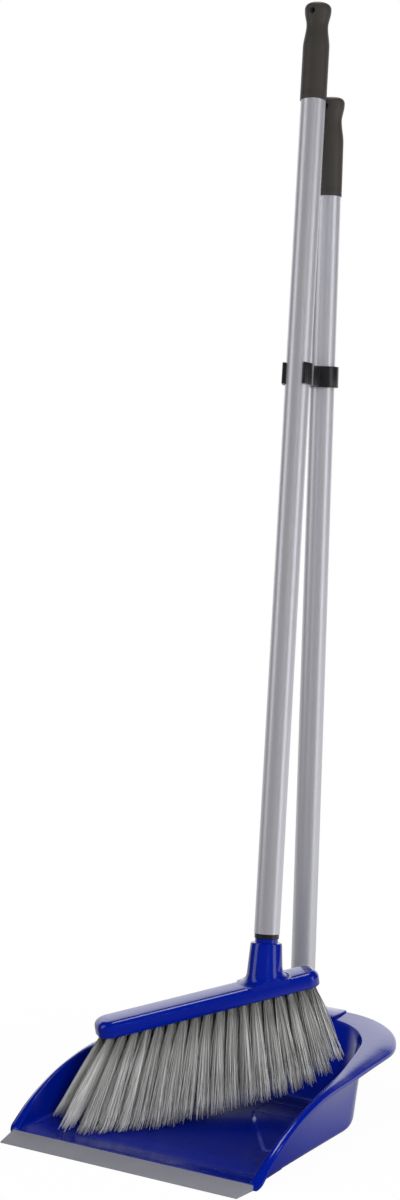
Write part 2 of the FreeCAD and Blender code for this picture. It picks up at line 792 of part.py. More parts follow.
def rim_band_to_floor():
    """Everything under the rim's height curve."""
    depth = 2 * size("mouth_level")
    return rim_band(depth, depth)


def flat_prism(corners, thickness, plane):
    """A straight-sided prism: corners on the named plane, centred on it or standing on it."""
    if plane == "YZ":
        points = [Vector(-thickness / 2, across, up) for across, up in corners]
        direction = Vector(thickness, 0, 0)
    else:
        points = [Vector(across, up, 0) for across, up in corners]
        direction = Vector(0, 0, thickness)
    return Part.Face(Part.makePolygon(points + points[:1])).extrude(direction)


def make_walls():
    """The pan's floor and the three walls round it, up to the rim's height curve."""
    wall = size("pan_wall")
    level = size("mouth_level")
    outer = Part.makeLoft([base_outline(0, 0), mouth_outline(wall, level)], True, True)
    edge = size("base_edge")
    foot = [e for e in outer.Edges if lies_at(0)(e) and e.BoundBox.YMax > size("base_front") + 1]
    outer = outer.makeFillet(edge, foot)
    return outer.common(rim_band_to_floor())


def make_hollow():
    """The space that the dirt goes into, run out through the open front."""
    wall = size("pan_wall")
    floor = size("floor_height")
    level = size("mouth_level")
    slope = (level - floor) / level
    low = base_outline(wall, floor)
    high = mouth_outline(0, level)
    above = mouth_outline(0, level)
    above.translate(Vector(0, 0, level * slope))
    hollow = Part.makeLoft([low, high], True, True)
    return hollow.fuse(Part.makeLoft([high, above], True, True))


def make_threshold():
    """The low ramp that the dirt crosses, right behind the lip."""
    front = size("base_front")
    floor = size("floor_height")
    corners = [
        (front, 0),
        (front + size("ridge_length"), 0),
        (front + size("ridge_length"), floor),
        (front, size("ridge_height")),
    ]
    return flat_prism(corners, 2 * (size("base_half_front") - size("pan_wall") / 2), "YZ")


def make_tongue():
    """The thin front edge of the pan that the rubber lip is pushed onto."""
    half = size("base_half_front") + size("lip_overhang") - size("lip_taper") - size("tongue_inset")
    length = size("tongue_length")
    reach = size("ridge_length")
    corner = Vector(-half, size("base_front") - length, size("tongue_level"))
    return Part.makeBox(2 * half, length + reach, size("tongue_height"), corner)


def make_deck(side):
    """One raised field of the floor, with its two grooves."""
    half = base_half_back() - size("deck_side_gap")
    corners = [
        (side * half, size("deck_outer_front_y")),
        (side * size("deck_outer_x"), size("deck_outer_front_y")),
        (side * size("deck_middle_x"), size("deck_middle_y")),
        (side * size("deck_inner_x"), size("deck_inner_y")),
        (side * size("deck_inner_x"), size("deck_back_y")),
        (side * (half - size("deck_corner")), size("deck_back_y")),
        (side * half, size("deck_back_y") - size("deck_corner")),
    ]
    height = size("floor_height") + size("deck_height")
    deck = flat_prism(corners, height, "XY")
    width = size("deck_groove_width")
    depth = size("deck_groove_depth")
    for middle in (size("deck_groove_front"), size("deck_groove_back")):
        corner = Vector(-half, middle - width / 2, height - depth)
        deck = deck.cut(Part.makeBox(2 * half, width, depth, corner))
    return deck


def turned_solid(corners):
    """A solid turned about the pan handle's axis from (radius, distance) corners."""
    points = [Vector(across, 0, up) for across, up in corners]
    section = Part.Face(Part.makePolygon(points + points[:1]))
    solid = section.revolve(Vector(0, 0, 0), Vector(0, 0, 1), 360)
    solid.Placement = pan_handle_place(0)
    return solid


def make_column():
    """The outside of the pan's handle socket, which stands on the floor."""
    sunk = -size("pan_wall")
    top = size("pan_tube_foot") - size("collar_length")
    corners = [
        (0, sunk),
        (size("column_radius"), sunk),
        (size("column_top_radius"), socket_shoulder()),
        (size("neck_radius"), socket_shoulder()),
        (size("neck_radius"), top),
        (0, top),
    ]
    return turned_solid(corners)


def make_column_hollows():
    """The bore that takes the ferrule, and below its web the hollow foot."""
    above = size("pan_tube_foot")
    bore = size("shank_radius") + size("fit_clearance")
    top = size("pan_tube_foot") - size("collar_length")
    bore_floor = top - size("shank_length") - size("end_clearance")
    roof = bore_floor - size("column_web")
    foot = size("column_radius") - size("column_wall")
    sunk = -size("column_radius")
    bore_corners = [(0, bore_floor), (bore, bore_floor), (bore, above), (0, above)]
    foot_corners = [(0, sunk), (foot, sunk), (foot - size("column_wall"), roof), (0, roof)]
    return [turned_solid(bore_corners), turned_solid(foot_corners)]


def socket_shoulder():
    """Height of the pan socket's shoulder along the handle's axis."""
    return size("pan_tube_foot") - size("collar_length") - size("neck_length")


def make_gusset():
    """The upright rib from the sloping back wall to the socket, under the flange."""
    wall_y = size("base_back") - size("pan_wall")
    column_y = size("pan_axis_y") - size("column_radius") + size("column_wall") / 2
    under_rim = size("rim_z_back") - size("rim_plate")
    corners = [
        (wall_y, size("gusset_foot")),
        (column_y, size("gusset_foot")),
        (column_y, under_rim),
        (wall_y, under_rim),
    ]
    return flat_prism(corners, size("gusset_wall"), "YZ").common(rim_band_to_floor())


def make_saddle():
    """The raised field of the rim that the socket stands in."""
    top = size("rim_z_back") + size("saddle_rise")
    foot = size("rim_z_back") - size("rim_plate")
    corner = Vector(-size("saddle_half"), size("saddle_start_y"), foot)
    length = size("pan_axis_y") - size("saddle_start_y") + size("column_radius")
    block = Part.makeBox(2 * size("saddle_half"), length, top - foot, corner)
    return block.common(rim_prism(0))


def make_pan():
    """The moulded pan: walls, flanged rim, raised fields and the socket for its handle."""
    hollow = make_hollow()
    plate = size("rim_plate")
    prism = rim_prism(0)
    flange = rim_band(plate, plate).common(prism)
    skirt_ring = prism.cut(rim_prism(size("skirt_wall")))
    skirt = rim_band(size("skirt_front"), size("skirt_back")).common(skirt_ring)
    behind = [flange, skirt, make_gusset(), make_saddle()]
    shell = make_walls().fuse(behind).cut(hollow)
    inside = [make_threshold(), make_tongue()] + [make_deck(side) for side in (-1, 1)]
    width = 4 * mouth_half_front()
    ground = Part.makeBox(width, width, width, Vector(-width / 2, -width / 2, -width))
    body = shell.fuse(inside + [make_column()]).cut(make_column_hollows() + [ground])
    return body.removeSplitter()


def floor_plate_space():
    """The space between the walls that the pan's flat floor plate takes up."""
    front = size("base_front") - size("tongue_length")
    half = size("base_half_front") - 2 * size("pan_wall")
    corner = Vector(-half, front, 0)
    return Part.makeBox(2 * half, size("floor_plate_back") - front, 2 * size("ridge_height"), corner)


def make_lip_strip():
    """Wedge-shaped rubber lip with the slot that takes the pan's tongue."""
    body = new_body("lip_strip")
    half_back = "(base_half_front + lip_overhang)"
    half_front = f"({half_back} - lip_taper)"
    plan_sketch = new_sketch(body, "XY_Plane", "lip_outline")
    plan = [
        (f"-{half_front}", "base_front - lip_length"),
        (half_front, "base_front - lip_length"),
        (half_back, "base_front"),
        (f"-{half_back}", "base_front"),
    ]
    draw_outline(plan_sketch, plan)
    add_pad(body, "lip", plan_sketch, "ridge_height")

    slope_sketch = new_sketch(body, "YZ_Plane", "lip_slope_outline")
    slope = [
        ("base_front - lip_length - lip_length", "lip_edge"),
        ("base_front - lip_length", "lip_edge"),
        ("base_front", "ridge_height"),
        ("base_front - lip_length - lip_length", "ridge_height + lip_edge"),
    ]
    draw_outline(slope_sketch, slope)
    add_pocket(body, "lip_slope", slope_sketch, f"4 * {half_back}", middle=True)

    slot_sketch = new_sketch(body, "YZ_Plane", "lip_slot_outline")
    slot_end = "base_front - tongue_length - fit_clearance"
    slot = [
        (slot_end, "tongue_level - fit_clearance"),
        ("base_front + lip_length", "tongue_level - fit_clearance"),
        ("base_front + lip_length", "tongue_level + tongue_height + fit_clearance"),
        (slot_end, "tongue_level + tongue_height + fit_clearance"),
    ]
    draw_outline(slot_sketch, slot)
    slot_width = f"2 * ({half_front} - tongue_inset + fit_clearance)"
    add_pocket(body, "lip_slot", slot_sketch, slot_width, middle=True)
    return body


# ---------------------------------------------------------------- the whole set

def make_all():
    """Every piece of the set, in its place."""
    grip_seat = size("tube_length") - size("grip_sleeve")
    pan_foot = size("pan_tube_foot")
    broom_foot_distance = size("broom_tube_foot")
    pan = make_pan()
    plate_space = floor_plate_space()
    pieces = [
        make_feature("pan_body", pan.cut(plate_space), Placement()),
        make_feature("pan_floor", pan.common(plate_space), Placement()),
        make_lip_strip(),
        make_tube("pan_tube", pan_handle_place(pan_foot)),
        make_ferrule("pan_ferrule", pan_handle_place(pan_foot)),
        make_grip("pan_grip", pan_handle_place(pan_foot + grip_seat)),
        make_clip(),
        make_tube("broom_tube", broom_handle_place(broom_foot_distance)),
        make_ferrule("broom_ferrule", broom_handle_place(broom_foot_distance)),
        make_grip("broom_grip", broom_handle_place(broom_foot_distance + grip_seat)),
        make_block(),
    ]
    for number, row in enumerate(tuft_rows(), start=1):
        pieces.append(make_tuft_row(f"tuft_row_{number}", row))
    pieces.append(make_staples())
    doc.recompute()
    return pieces


def check_all(pieces):
    """Stops before anything is written if any object failed."""
    for item in doc.Objects:
        if "Invalid" in item.State or "Error" in item.State:
            raise RuntimeError(f"{item.Label} failed: {item.State}")
    for piece in pieces:
        if piece.Shape.isNull() or not piece.Shape.isValid():
            raise RuntimeError(f"{piece.Label} has no valid shape")


def write_all(pieces):
    os.makedirs("parts", exist_ok=True)
    for piece in pieces:
        piece.Shape.exportStep(f"parts/{piece.Label}.step")
        print(piece.Label, len(piece.Shape.Solids), round(piece.Shape.Volume))


all_pieces = make_all()
check_all(all_pieces)
write_all(all_pieces)
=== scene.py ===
"""Long-handled dust pan and brush set: the finished look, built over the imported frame.

The pan, the lip, the handles, the grips, the clip, the brush block and the bristles are each an
operator of a small add-on. Sizes are in metres, in the frame's own axes: +Z up, -Y over the lip."""

import json
import math

import bmesh
import bpy
import numpy as np
from bpy.props import FloatProperty, FloatVectorProperty, IntProperty, PointerProperty
from mathutils import Matrix, Vector


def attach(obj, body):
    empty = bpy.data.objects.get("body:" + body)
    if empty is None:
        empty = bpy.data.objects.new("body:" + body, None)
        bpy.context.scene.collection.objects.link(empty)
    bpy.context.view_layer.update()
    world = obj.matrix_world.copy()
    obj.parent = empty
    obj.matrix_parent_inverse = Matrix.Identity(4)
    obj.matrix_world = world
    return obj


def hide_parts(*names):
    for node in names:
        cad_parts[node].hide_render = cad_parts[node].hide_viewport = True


bl_info = {
    "name": "Dust Pan and Brush Set",
    "version": (1, 0, 0),
    "blender": (4, 5, 0),
    "location": "View3D > Sidebar > Dust Pan",
    "description": "Builds a long-handled dust pan with a clipped-on angled brush",
    "category": "Object",
}

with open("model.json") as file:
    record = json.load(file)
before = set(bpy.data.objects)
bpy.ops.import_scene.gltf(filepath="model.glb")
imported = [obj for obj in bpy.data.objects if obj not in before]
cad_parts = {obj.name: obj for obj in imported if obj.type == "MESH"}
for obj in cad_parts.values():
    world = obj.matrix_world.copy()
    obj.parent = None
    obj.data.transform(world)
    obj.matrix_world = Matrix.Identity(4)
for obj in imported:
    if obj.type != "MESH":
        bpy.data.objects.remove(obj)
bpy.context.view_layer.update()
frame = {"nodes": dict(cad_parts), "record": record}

MM = 0.001


# ---- sizes and colours

def length(name, description, millimetres):
    """A property for a length, given in millimetres."""
    return FloatProperty(
        name=name,
        description=description,
        default=millimetres * MM,
        subtype="DISTANCE",
        unit="LENGTH",
        precision=5,
    )


def angle(name, description, degrees):
    """A property for an angle, given in degrees."""
    return FloatProperty(
        name=name,
        description=description,
        default=math.radians(degrees),
        subtype="ANGLE",
        unit="ROTATION",
    )


def linear(hex_colour):
    """The linear RGBA value of an sRGB hex colour."""
    shares = [int(hex_colour[i:i + 2], 16) / 255 for i in (1, 3, 5)]
    curve = [s / 12.92 if s <= 0.04045 else ((s + 0.055) / 1.055) ** 2.4 for s in shares]
    return (*curve, 1.0)


def colour(name, description, hex_colour):
    """A property for a colour, given as an sRGB hex value."""
    return FloatVectorProperty(
        name=name,
        description=description,
        subtype="COLOR",
        size=4,
        min=0,
        max=1,
        default=linear(hex_colour),
    )


class PanSizes(bpy.types.PropertyGroup):
    """The moulded pan: walls, rim, floor and the socket for its handle."""
    base_front: length("Base front", "Front edge of the pan floor, along Y", -97)
    base_edge: length("Base edge", "Rounding from the base into the walls", 6)
    wall: length("Wall", "Wall thickness of the pan", 2.2)
    floor: length("Floor", "Height of the top of the floor", 2.2)
    floor_edge: length("Floor edge", "Hollow rounding between floor and walls", 5)
    mouth_level: length("Mouth level", "Height at which the mouth is measured", 56)
    rim_plate: length("Rim plate", "Thickness of the rim's flange", 2.4)
    rim_inner_round: length("Rim inner rounding", "Edge rounding from wall to flange", 1.3)
    rim_crown: length("Rim crown", "How far the flange falls towards its outer edge", 3.2)
    rim_outer_round: length("Rim outer rounding", "Edge rounding from flange to skirt", 2.2)
    rim_tip: length("Rim tip", "Length over which the rim is rounded off at the front", 6)
    skirt_wall: length("Skirt wall", "Thickness of the turned-down edge", 2.2)
    skirt_front: length("Skirt depth, front", "Depth of the turned-down edge at the front", 4)
    skirt_back: length("Skirt depth, back", "Depth of the turned-down edge at the back", 9)
    ridge_height: length("Threshold height", "Height of the threshold behind the lip", 4.4)
    ridge_length: length("Threshold length", "Length of the threshold's slope", 52)
    deck_height: length("Field height", "Height of the raised fields on the floor", 1)
    deck_slope: length("Field slope", "Width of the slope round a raised field", 3)
    deck_groove: length("Groove width", "Width of the grooves across the raised fields", 1.4)
    deck_groove_depth: length("Groove depth", "Depth of these grooves", 0.6)
    column_radius: length("Socket foot radius", "Radius of the handle socket at the floor", 15)
    column_top: length("Socket top radius", "Radius of the handle socket at its shoulder", 12.5)
    neck_radius: length("Neck radius", "Radius of the ring on top of a socket", 9.9)
    neck_length: length("Neck length", "Height of that ring", 3.7)
    saddle_half: length("Saddle", "Half width of the raised field round the socket", 40)
    saddle_start: length("Saddle start", "Front edge of that field, along Y", 181)
    saddle_rise: length("Saddle rise", "Height of that field above the rim", 1.5)


# The pan's outlines in plan: at its foot, between its walls and round its rim.
OUTLINES = {
    "base": (110.5, 116, 117, 0.7, 5, 57),
    "mouth": (114, 75.2, 187, -13.4, 3.5, 66),
    "rim": (118.3, 116, 209.4, 0.2, 9.2, 74.6),
}
OUTLINE_SIZES = {
    "half_front": ("half width, front", "Half width of the {} at the front"),
    "half_back": ("half width, back", "Half width of the {} at the back"),
    "back": ("back", "Back of the {} on the centre line"),
    "waist": ("waist", "How far the sides of the {} curve in, negative for out"),
    "bulge": ("bulge", "How far the back of the {} curves out"),
    "corner": ("corner", "Corner radius of the {}"),
}


def outline_properties():
    """The properties that hold the sizes of the pan's outlines."""
    properties = {}
    for level, defaults in OUTLINES.items():
        for (size, (label, text)), default in zip(OUTLINE_SIZES.items(), defaults):
            name = f"{level.capitalize()} {label}"
            properties[f"{level}_{size}"] = length(name, text.format(level), default)
    return properties


PanSizes.__annotations__.update(outline_properties())


class LipSizes(bpy.types.PropertyGroup):
    """The rubber lip along the pan's front edge."""
    reach: length("Reach", "Length of the lip in front of the pan", 22)
    half_front: length("Half width, front", "Half width at the front edge", 110)
    half_back: length("Half width, back", "Half width at the pan", 112.5)
    edge: length("Edge", "Thickness of the front edge", 1)


class HandleSizes(bpy.types.PropertyGroup):
    """The tubes, ferrules and grips of both handles."""
    tube_radius: length("Tube radius", "Outer radius of the tube", 11)
    tube_wall: length("Tube wall", "Wall of the rolled tube", 0.5)
    tube_length: length("Tube length", "Length of the tube", 778)
    pan_foot: length("Pan tube foot", "Distance of the pan tube's end from the floor", 63.25)
    broom_foot: length("Brush tube foot", "Distance of the brush tube's end from the floor", 152.3)
    collar_length: length("Collar", "Length of the black collar under the tube", 3.9)
    grip_radius: length("Grip radius", "Outer radius of the grip", 11.7)
    grip_sleeve: length("Grip sleeve", "Length of the sleeve over the tube", 53)
    grip_neck_radius: length("Waist radius", "Radius of the grip's waist", 9.6)
    grip_neck: length("Waist height", "Height of the waist on the grip", 66.5)
    grip_flare: length("Flare height", "Height of the widest part of the head", 80)
    grip_height: length("Grip height", "Total height of the grip", 86)
    grip_round: length("Head rounding", "Edge radius of the domed head", 4.5)
    hole_radius: length("Hole radius", "Radius of the hanging hole", 2.7)
    hole_height: length("Hole height", "Height of the hanging hole on the grip", 77.5)


class BrushSizes(bpy.types.PropertyGroup):
    """The brush block, its socket and the tufts."""
    turn: angle("Turn", "Turn of the head from the X axis", 49)
    slope: angle("Slope", "Rise of the head along itself", 9.8)
    foot: length("Block foot", "Distance of the block's underside along the handle", 100.3)
    left: length("Long side", "Length of the block on its long side", 149.3)
    right: length("Short side", "Length of the block on its short side", 50)
    width: length("Width", "Width of the block", 31)
    height: length("Height", "Thickness of the block", 13)
    corner: length("Corner", "Corner radius of the block", 12)
    edge: length("Edge", "Rounding of the block's top edge", 6)
    socket_foot: length("Socket foot", "Radius of the socket at its foot", 16)
    socket_top: length("Socket top", "Radius of the socket at its shoulder", 13.5)
    tuft_radius: length("Tuft radius", "Radius of a tuft where it leaves the block", 2.6)
    tuft_margin: length("End margin", "Distance of the end tufts from the block's ends", 9)
    row_spacing: length("Row spacing", "Distance between neighbouring rows", 7.3)
    bristle: length("Bristle length", "Free length of the bristles at the middle", 79)
    left_loss: length("Left loss", "How much higher the outermost tips on the long side are", 20)
    right_loss: length("Right loss", "The same on the short side", 17)
    strand_radius: length("Strand radius", "Radius of one strand", 0.27)
    tufts: IntProperty(name="Tufts", description="Tufts in a full row", default=18, min=2)
    strands: IntProperty(name="Strands", description="Strands in one tuft", default=72, min=1)


class Finishes(bpy.types.PropertyGroup):
    """The colours of the finishes."""
    pan_blue: colour("Pan blue", "Moulded polypropylene of pan and brush block", "#011886")
    lip_grey: colour("Lip grey", "Soft rubber of the lip", "#7C7C85")
    tube_silver: colour("Tube silver", "Lacquered steel of the tubes", "#D2D2D9")
    grip_grey: colour("Grip charcoal", "Matt plastic of the grips", "#363330")
    clip_black: colour("Clip black", "Plastic of clip and ferrules", "#1B1B1E")
    bristle_dark: colour("Dark bristle", "Darkest fibres", "#B2B2AD")
    bristle_light: colour("Light bristle", "Lightest fibres", "#FFFFFE")
    floor_white: colour("Floor", "Studio floor", "#F4F4F4")


# ---- where the pieces stand

def record_entry(kind, name):
    """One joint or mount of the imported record."""
    record = frame["record"]
    entries = record["mounts"] if kind == "mount" else record["behaviour"]["joints"]
    return next(entry for entry in entries if entry["name"] == name)


def handle_line(body):
    """The foot on the floor and the direction of a handle's axis."""
    if body == "pan":
        joint = record_entry("joint", "clip_swivel")
        point, along = Vector(joint["pos_m"]), Vector(joint["axis"]).normalized()
    else:
        along = Vector(record_entry("joint", "broom_lift")["axis"]).normalized()
        point = Vector(record_entry("mount", "broom_grip_hang_hole")["pos_m"])
    return point - along * (point.z / along.z), along


def handle_place(body, distance):
    """A place on a handle's axis at a distance from the floor, its Z along the handle."""
    foot, along = handle_line(body)
    turn = Vector((0, 0, 1)).rotation_difference(along).to_matrix().to_4x4()
    return Matrix.Translation(foot + along * distance) @ turn


def head_place(brush):
    """The brush head: X along the block, Z out of its top, origin where the handle's axis
    leaves it."""
    foot, along = handle_line("broom")
    turn = Matrix.Rotation(brush.turn, 4, "Z") @ Matrix.Rotation(-brush.slope, 4, "Y")
    return Matrix.Translation(foot + along * brush.foot) @ turn


# ---- modelling helpers

# Points closer than WELD are one point, and heights that differ by less than LEVEL are level.
WELD, LEVEL = 0.001 * MM, 0.01 * MM
SMOOTH_BELOW = math.radians(35)


def placed(name, data):
    """A new object in the scene with the given data."""
    item = bpy.data.objects.new(name, data)
    bpy.context.scene.collection.objects.link(item)
    return item


def mesh_of(name, shape):
    """The mesh of a bmesh, which is freed."""
    mesh = bpy.data.meshes.new(name)
    shape.to_mesh(mesh)
    shape.free()
    return mesh


def without_ngons(shape):
    """The same bmesh, with its faces of more than four corners split up."""
    bmesh.ops.triangulate(shape, faces=[face for face in shape.faces if len(face.verts) > 4])
    return shape


def finished(name, shape, material, body, replaces):
    """Turns a bmesh into a piece that rides on a body and stands for the nodes it replaces."""
    mesh = mesh_of(name, without_ngons(shape))
    mesh.shade_smooth()
    mesh.set_sharp_from_angle(angle=SMOOTH_BELOW)
    mesh.materials.append(material)
    piece = placed(name, mesh)
    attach(piece, body)
    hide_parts(*replaces)


def joined(shapes):
    """One bmesh that holds all the given ones."""
    whole = bmesh.new()
    for shape in shapes:
        mesh = mesh_of("part", without_ngons(shape))
        whole.from_mesh(mesh)
        bpy.data.meshes.remove(mesh)
    return whole


def closed(shape):
    """Sews a shape together, fills its open rings and turns its faces outwards."""
    bmesh.ops.remove_doubles(shape, verts=shape.verts, dist=WELD)
    bmesh.ops.holes_fill(shape, edges=shape.edges, sides=0)
    bmesh.ops.recalc_face_normals(shape, faces=shape.faces)
    return shape


def lofted(points):
    """A sheet of quads through a grid of points, rows along the first index."""
    across, up = points.shape[0] - 1, points.shape[1] - 1
    shape = bmesh.new()
    bmesh.ops.create_grid(shape, x_segments=across, y_segments=up, size=0.5)
    for vert in shape.verts:
        row = round((vert.co.x + 0.5) * across)
        column = round((vert.co.y + 0.5) * up)
        vert.co = Vector(points[row, column])
    return shape


def turned(corners, place, steps=64):
    """A closed solid turned about the Z of its place from (radius, height) corners."""
    shape = bmesh.new()
    verts = [shape.verts.new((radius, 0, height)) for radius, height in corners]
    edges = [shape.edges.new(pair) for pair in zip(verts, verts[1:])]
    turn = {"cent": (0, 0, 0), "axis": (0, 0, 1), "angle": math.tau, "steps": steps}
    bmesh.ops.spin(shape, geom=verts + edges, use_merge=True, **turn)
    closed(shape).transform(place)
    return shape


def pushed(shape, faces, way):
    """Extrudes faces along a vector."""
    grown = bmesh.ops.extrude_face_region(shape, geom=faces)["geom"]
    moved = [part for part in grown if isinstance(part, bmesh.types.BMVert)]
    bmesh.ops.translate(shape, verts=moved, vec=way)


def prism(corners, thickness, upright=False):
    """A straight prism: corners in plan standing on Z = 0, or in the YZ plane centred on X = 0."""
    shape = bmesh.new()
    if upright:
        verts = [shape.verts.new((-thickness / 2, across, up)) for across, up in corners]
        way = (thickness, 0, 0)
    else:
        verts = [shape.verts.new((across, up, 0)) for across, up in corners]
        way = (0, 0, thickness)
    pushed(shape, [shape.faces.new(verts)], way)
    bmesh.ops.recalc_face_normals(shape, faces=shape.faces)
    return shape


def rounded(shape, edges, radius, segments=3):
    """Rounds the given edges."""
    bmesh.ops.bevel(
        shape,
        geom=edges,
        offset=radius,
        offset_type="OFFSET",
        segments=segments,
        profile=0.5,
        affect="EDGES",
        clamp_overlap=True,
        material=-1,
    )


def sharp_edges(shape, degrees=30):
    """The edges that turn by more than an angle."""
    limit = math.radians(degrees)
    return [e for e in shape.edges if len(e.link_faces) == 2 and e.calc_face_angle(0) > limit]


def edges_above(edges, height):
    """Those of the edges that lie wholly above a height."""
    return [edge for edge in edges if min(vert.co.z for vert in edge.verts) > height]


def bent(start, corner, end, segments):
    """Points of a rounding that starts and ends on two straight runs that meet in a corner."""
    points = []
    for step in range(segments + 1):
        t = step / segments
        points.append((1 - t) ** 2 * start + 2 * t * (1 - t) * corner + t ** 2 * end)
    return points


# ---- materials

# Settings of nodes that the finishes use often.
SMOOTH, TINT = {"interpolation_type": "SMOOTHSTEP"}, {"data_type": "RGBA"}
TIMES, LARGER = {"operation": "MULTIPLY"}, {"operation": "MAXIMUM"}


def add_node(tree, kind, inputs=None, **settings):
    """Adds a shader node with its settings. Its sockets get values or links, where another node
    stands for its first output."""
    node = tree.nodes.new(f"ShaderNode{kind}")
    for name, value in settings.items():
        setattr(node, name, value)
    for socket, value in (inputs or {}).items():
        source = value.outputs[0] if isinstance(value, bpy.types.Node) else value
        if isinstance(source, bpy.types.NodeSocket):
            tree.links.new(source, node.inputs[socket])
        else:
            node.inputs[socket].default_value = source
    return node


def new_material(name):
    """A material with its empty tree and the object's coordinates."""
    material = bpy.data.materials.new(name)
    material.use_nodes = True
    tree = material.node_tree
    tree.nodes.clear()
    return material, tree, add_node(tree, "TexCoord").outputs["Object"]


def noise_scale(millimetres):
    """The scale of noise whose grains are about as wide as the given size."""
    return 1 / (millimetres * MM)


def shaded(rgba, factor):
    """A colour made darker or lighter by a factor."""
    return (*[min(1.0, share * factor) for share in rgba[:3]], 1.0)


def grained(name, rgba, tones, cloud, grain, polish, depth, drawn=1.0, **looks):
    """A material with clouds of lighter and darker tone, and a grain in its roughness and relief.
    Cloud is a size with its detail; sizes are in millimetres; drawn squeezes Z for the grain."""
    material, tree, place = new_material(name)
    size, detail = cloud
    clouds = add_node(
        tree, "TexNoise", {"Vector": place, "Scale": noise_scale(size), "Detail": detail}
    )
    if drawn != 1:
        place = add_node(tree, "Mapping", {"Vector": place, "Scale": (1.0, 1.0, drawn)})
    grit = add_node(
        tree, "TexNoise", {"Vector": place, "Scale": noise_scale(grain), "Detail": 2.0}
    )
    darker, lighter = (shaded(rgba, tone) for tone in tones)
    tint = {"Factor": clouds, "A": darker, "B": lighter}
    shader = add_node(tree, "BsdfPrincipled", {
        "Base Color": add_node(tree, "Mix", tint, **TINT).outputs[2],
        "Roughness": add_node(
            tree, "MapRange", {"Value": grit, "To Min": polish[0], "To Max": polish[1]}
        ),
        "Normal": add_node(tree, "Bump", {"Height": grit, "Distance": depth * MM, "Strength": 1.0}),
        **looks,
    })
    add_node(tree, "OutputMaterial", {"Surface": shader})
    return material


def moulded_polypropylene_blue(name, finishes):
    """Injection-moulded polypropylene from a polished tool: deep gloss, with the slight waviness
    of a thin wall that cooled unevenly and fine scuffs from use. The pan's floor is satin, and
    its colour is painted darker behind the threshold as shade."""
    material, tree, place = new_material(name)
    blue = finishes.pan_blue[:]
    flow = add_node(tree, "TexNoise", {"Vector": place, "Scale": noise_scale(60), "Detail": 1.0})
    waves = add_node(tree, "TexNoise", {"Vector": place, "Scale": noise_scale(9), "Detail": 1.0})
    scuffs = add_node(
        tree, "TexNoise",
        {"Vector": place, "Scale": noise_scale(2.5), "Detail": 4.0, "Roughness": 0.7},
    )
    spot = add_node(tree, "SeparateXYZ", {"Vector": place}).outputs
    normal = add_node(tree, "NewGeometry").outputs["True Normal"]
    facing = add_node(tree, "SeparateXYZ", {"Vector": normal}).outputs

    # The floor is what lies low and level behind the lip. It is satin, and further back its colour
    # is darkened with painted shade.
    steps = (
        {"Value": spot["Z"], "From Min": 14 * MM, "From Max": 6 * MM},
        {"Value": facing["Z"], "From Min": 0.985, "From Max": 0.998},
        {"Value": spot["Y"], "From Min": -88 * MM, "From Max": -68 * MM},
        {"Value": spot["Y"], "From Min": -72 * MM, "From Max": -36 * MM},
    )
    low, level, inside, further = (add_node(tree, "MapRange", step, **SMOOTH) for step in steps)
    level_inside = add_node(tree, "Math", {0: inside, 1: level}, **TIMES)
    satin_floor = add_node(tree, "Math", {0: low, 1: level_inside}, **TIMES)
    floor_shade = add_node(tree, "Math", {0: satin_floor, 1: further}, **TIMES)

    mottled = add_node(
        tree, "Mix", {"Factor": flow, "A": shaded(blue, 0.94), "B": shaded(blue, 1.06)}, **TINT
    ).outputs[2]
    # Painted shade: further back the floor's colour falls to 0.68 of the blue.
    tint = {"Factor": floor_shade, "A": mottled, "B": shaded(blue, 0.68)}
    polish = add_node(tree, "MapRange", {"Value": scuffs, "To Min": 0.09, "To Max": 0.18})
    shader = add_node(tree, "BsdfPrincipled", {
        "Base Color": add_node(tree, "Mix", tint, **TINT).outputs[2],
        "Roughness": add_node(tree, "Mix", {"Factor": satin_floor, "A": polish, "B": 0.34}),
        "Specular IOR Level": add_node(
            tree, "MapRange", {"Value": satin_floor, "To Min": 0.5, "To Max": 0.08}
        ),
        "Coat Weight": add_node(tree, "MapRange", {"Value": satin_floor, "To Min": 0.25, "To Max": 0.0}),
        "Coat Roughness": 0.05,
        "Normal": add_node(tree, "Bump", {"Height": waves, "Distance": 0.09 * MM, "Strength": 1.0}),
        "IOR": 1.49,
    })
    add_node(tree, "OutputMaterial", {"Surface": shader})
    return material


def extruded_rubber_grey(name, finishes):
    """Extruded thermoplastic rubber: matt, a little greasy, with faint drawing marks."""
    return grained(
        name, finishes.lip_grey, tones=(0.9, 1.08), cloud=(14, 3.0),
        grain=1.2, polish=(0.5, 0.68), depth=0.04, IOR=1.5,
    )


def silver_lacquered_steel(name, finishes):
    """Rolled steel tube under silver lacquer: satin metal with soft stripes of reflected light
    and the faint grain of the metal flakes, which is drawn coarser than it is to show at all."""
    return grained(
        name, finishes.tube_silver, tones=(0.95, 1.04), cloud=(0.8, 2.0),
        grain=1.6, polish=(0.33, 0.42), depth=0.006, drawn=0.04, Metallic=0.65,
    )


def spark_eroded_plastic_charcoal(name, finishes):
    """ABS moulded in a spark-eroded tool: matt and dry, with a fine even grain, which is drawn
    coarser than it is to show at all."""
    return grained(
        name, finishes.grip_grey, tones=(0.92, 1.08), cloud=(20, 2.0),
        grain=0.7, polish=(0.42, 0.58), depth=0.05, IOR=1.53,
    )


def moulded_nylon_black(name, finishes):
    """Nylon moulding of the clip and the ferrules: black satin with a soft sheen. Its fine grain
    is drawn coarser than it is to show at all."""
    return grained(
        name, finishes.clip_black, tones=(0.85, 1.2), cloud=(1.0, 2.0),
        grain=1.0, polish=(0.24, 0.36), depth=0.02, IOR=1.53,
    )


